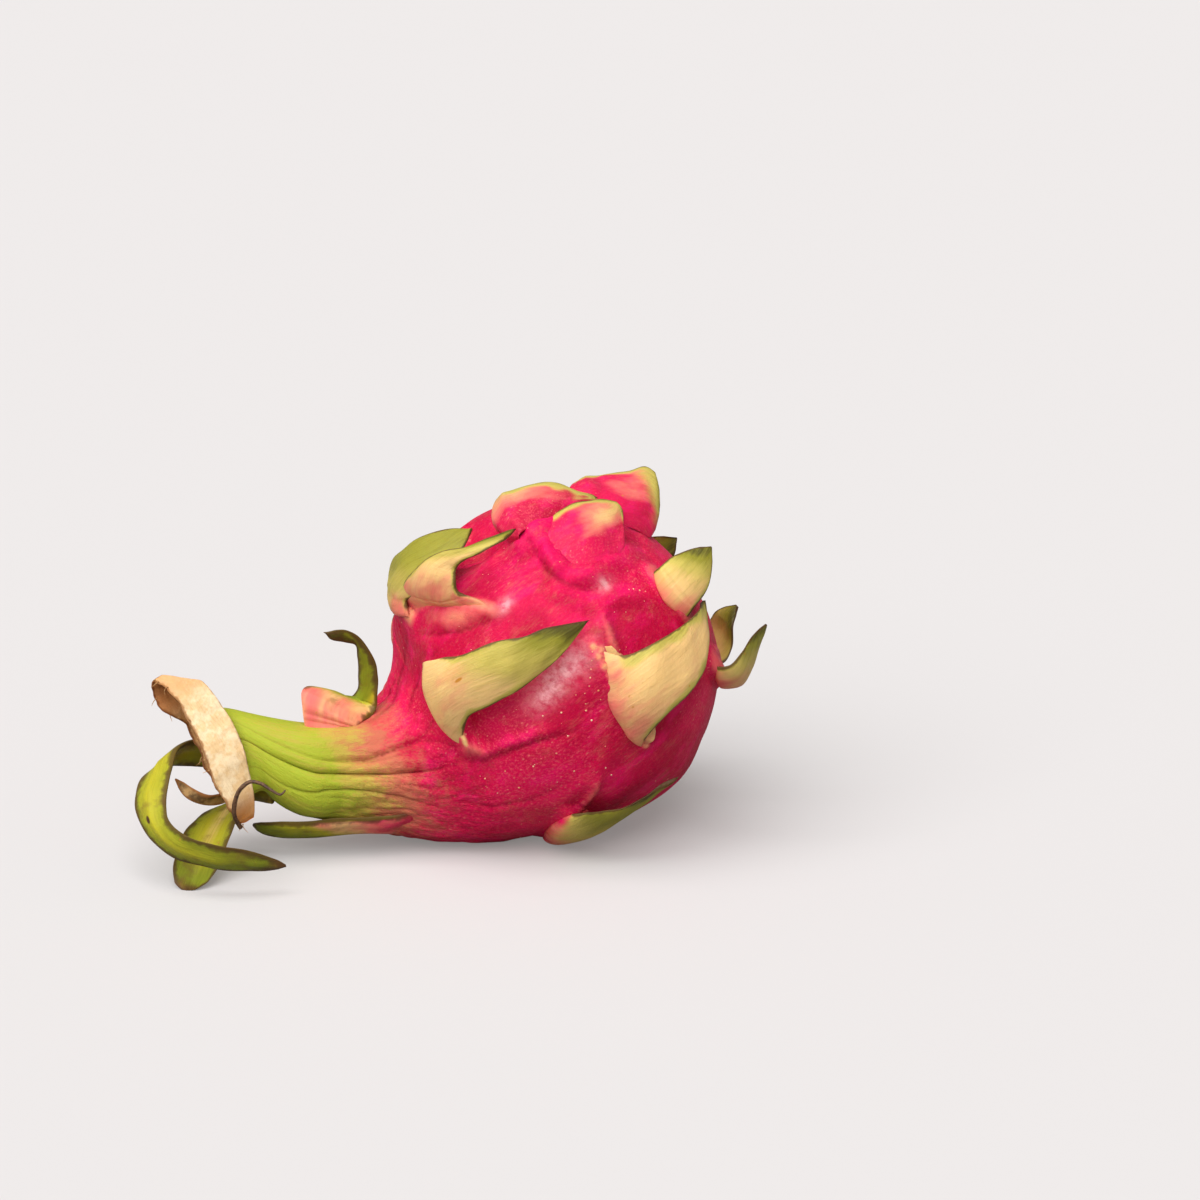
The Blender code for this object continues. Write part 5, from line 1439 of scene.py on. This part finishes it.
class PITAYA_OT_style(Operator):
    """Make the dark thread that curls over the collar, and the loose fibres of the collar's rim"""

    bl_idname = "pitaya.style"
    bl_label = "Dried style"

    def execute(self, context):
        size, tones = context.scene.pitaya_shape, context.scene.pitaya_colours
        surface = thread_material("dried_thread", tones.thread, tones.thread_light)
        route = spline(STYLE_ROUTE, 60)
        item = loose_mesh("style_thread", route, [(i, i + 1) for i in range(len(route) - 1)])
        grow(item, thread_tree(surface), {"Radius": size.style_radius})
        carry(item, "dried_thread", "dried_style")
        draw = np.random.default_rng(FIBRE_SEED)
        angle = np.sort(draw.uniform(0, 2 * math.pi, 240))
        middle, near, far, face, width, across = collar_ring(angle)
        out = collar_axes()[1]
        places, edges = [], []
        for k in draw.choice(240, FIBRES, replace=False):
            way = unit(out + draw.normal(0, 0.5, 3))
            curl = draw.normal(0, 0.25, 3)
            place = middle[k] + out * (far[k] - 0.6) - face[k] * 0.9
            for step in range(8):
                if step:
                    edges.append((len(places) - 1, len(places)))
                places.append(place)
                place = place + way * 0.4
                way = unit(way + curl)
        item = loose_mesh("collar_fibres", places, edges)
        surface = thread_material("dried_fibre", tones.paper_edge, tones.paper_dark)
        grow(item, thread_tree(surface), {"Radius": 0.0001, "Sides": 6, "Steps": 10})
        carry(item, "dried_paper")
        return {"FINISHED"}


class PITAYA_OT_flecks(Operator):
    """Scatter small cream flecks over the skin"""

    bl_idname = "pitaya.flecks"
    bl_label = "Flecks"

    def execute(self, context):
        shape, tones = context.scene.pitaya_shape, context.scene.pitaya_colours
        draw = np.random.default_rng(FLECK_SEED)
        s, phi = PhotoView().seen_at(FLECKS_SEEN)
        s = np.concatenate([s, draw.uniform(-34, 38, FLECKS_MORE)])
        phi = np.concatenate([phi, draw.uniform(0, 360, FLECKS_MORE)])
        size = np.concatenate([draw.uniform(0.15, 0.27, len(FLECKS_SEEN)), draw.uniform(0.08, 0.17, FLECKS_MORE)])
        here = body_points(s, phi, shape)[0]
        ahead = body_points(s + 0.4, phi, shape)[0] - here
        beside = body_points(s, phi + 0.6, shape)[0] - here
        facing = unit(np.cross(ahead, beside))
        facing *= np.sign(np.sum(facing * (here - SPINE.at(s)[0]), 1))[:, None]
        kept = here[:, 2] > GROUND + LOWEST_FLECK
        item = loose_mesh("skin_flecks", here[kept], facing=facing[kept], size=size[kept])
        surface = thread_material("skin_fleck", tones.fleck, tones.paper_pale)
        grow(item, fleck_tree(surface), {"Size": MM})
        carry(item, "skin")
        return {"FINISHED"}


def aim(item, target):
    """Turns a camera or light, which looks down its own -Z, towards a point."""
    way = Vector(target) - item.location
    item.rotation_euler = way.to_track_quat("-Z", "Y").to_euler()


class PITAYA_OT_stage(Operator):
    """Lay the floor and set the camera and the lights"""

    bl_idname = "pitaya.stage"
    bl_label = "Stage"

    def execute(self, context):
        scene, stage, tones = context.scene, context.scene.pitaya_stage, context.scene.pitaya_colours
        mesh = bpy.data.meshes.new("floor")
        mesh.from_pydata([(-9, -9, 0), (9, -9, 0), (9, 9, 0), (-9, 9, 0)], [], [(0, 1, 2, 3)])
        floor = bpy.data.objects.new("floor", mesh)
        scene.collection.objects.link(floor)
        mesh.materials.append(floor_material(tones))
        camera = bpy.data.objects.new("camera", bpy.data.cameras.new("camera"))
        camera.data.lens = stage.lens
        camera.data.sensor_width = SENSOR
        camera.location = stage.camera_at
        aim(camera, stage.look_at)
        scene.collection.objects.link(camera)
        scene.camera = camera
        for name, strength, place, spread in (("key", stage.key, stage.key_from, 72), ("fill", stage.fill, stage.fill_from, 90)):
            lamp = bpy.data.lights.new(name, "SUN")
            lamp.energy = strength
            lamp.angle = math.radians(spread)
            item = bpy.data.objects.new(name, lamp)
            item.location = place
            aim(item, (0, 0, 0))
            scene.collection.objects.link(item)
        world = bpy.data.worlds.new("even_light")
        world.use_nodes = True
        nodes = Nodes(world.node_tree)
        light = world.node_tree.nodes["Background"]
        light.inputs["Color"].default_value = (1.0, 0.985, 0.975, 1)
        light.inputs["Strength"].default_value = stage.sky
        seen = nodes.add("ShaderNodeBackground", {"Color": tones.backdrop})
        straight = nodes.add("ShaderNodeLightPath").outputs["Is Camera Ray"]
        both = nodes.add("ShaderNodeMixShader", {0: straight, 1: light.outputs[0], 2: seen.outputs[0]})
        nodes.put(world.node_tree.nodes["World Output"].inputs["Surface"], both.outputs[0])
        scene.world = world
        scene.view_settings.view_transform = "Standard"
        return {"FINISHED"}


class PITAYA_PT_panel(Panel):
    bl_idname = "PITAYA_PT_panel"
    bl_label = "Dragon fruit"
    bl_space_type = "VIEW_3D"
    bl_region_type = "UI"
    bl_category = "Pitaya"

    def draw(self, context):
        for step in STEPS:
            self.layout.operator(step.bl_idname)
        for group in (context.scene.pitaya_shape, context.scene.pitaya_colours, context.scene.pitaya_stage):
            box = self.layout.box()
            for key in group.__annotations__:
                box.prop(group, key)


STEPS = (PITAYA_OT_stage, PITAYA_OT_body, PITAYA_OT_scales, PITAYA_OT_leaves, PITAYA_OT_collar, PITAYA_OT_style,
         PITAYA_OT_flecks)
CLASSES = (PitayaShape, PitayaColours, PitayaStage) + STEPS + (PITAYA_PT_panel,)


def register():
    for kind in CLASSES:
        bpy.utils.register_class(kind)
    bpy.types.Scene.pitaya_shape = PointerProperty(type=PitayaShape)
    bpy.types.Scene.pitaya_colours = PointerProperty(type=PitayaColours)
    bpy.types.Scene.pitaya_stage = PointerProperty(type=PitayaStage)


def unregister():
    del bpy.types.Scene.pitaya_stage, bpy.types.Scene.pitaya_colours, bpy.types.Scene.pitaya_shape
    for kind in reversed(CLASSES):
        bpy.utils.unregister_class(kind)


def main():
    register()
    for step in STEPS:
        family, name = step.bl_idname.split(".")
        getattr(getattr(bpy.ops, family), name)()
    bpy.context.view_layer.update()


if __name__ == "__main__":
    main()
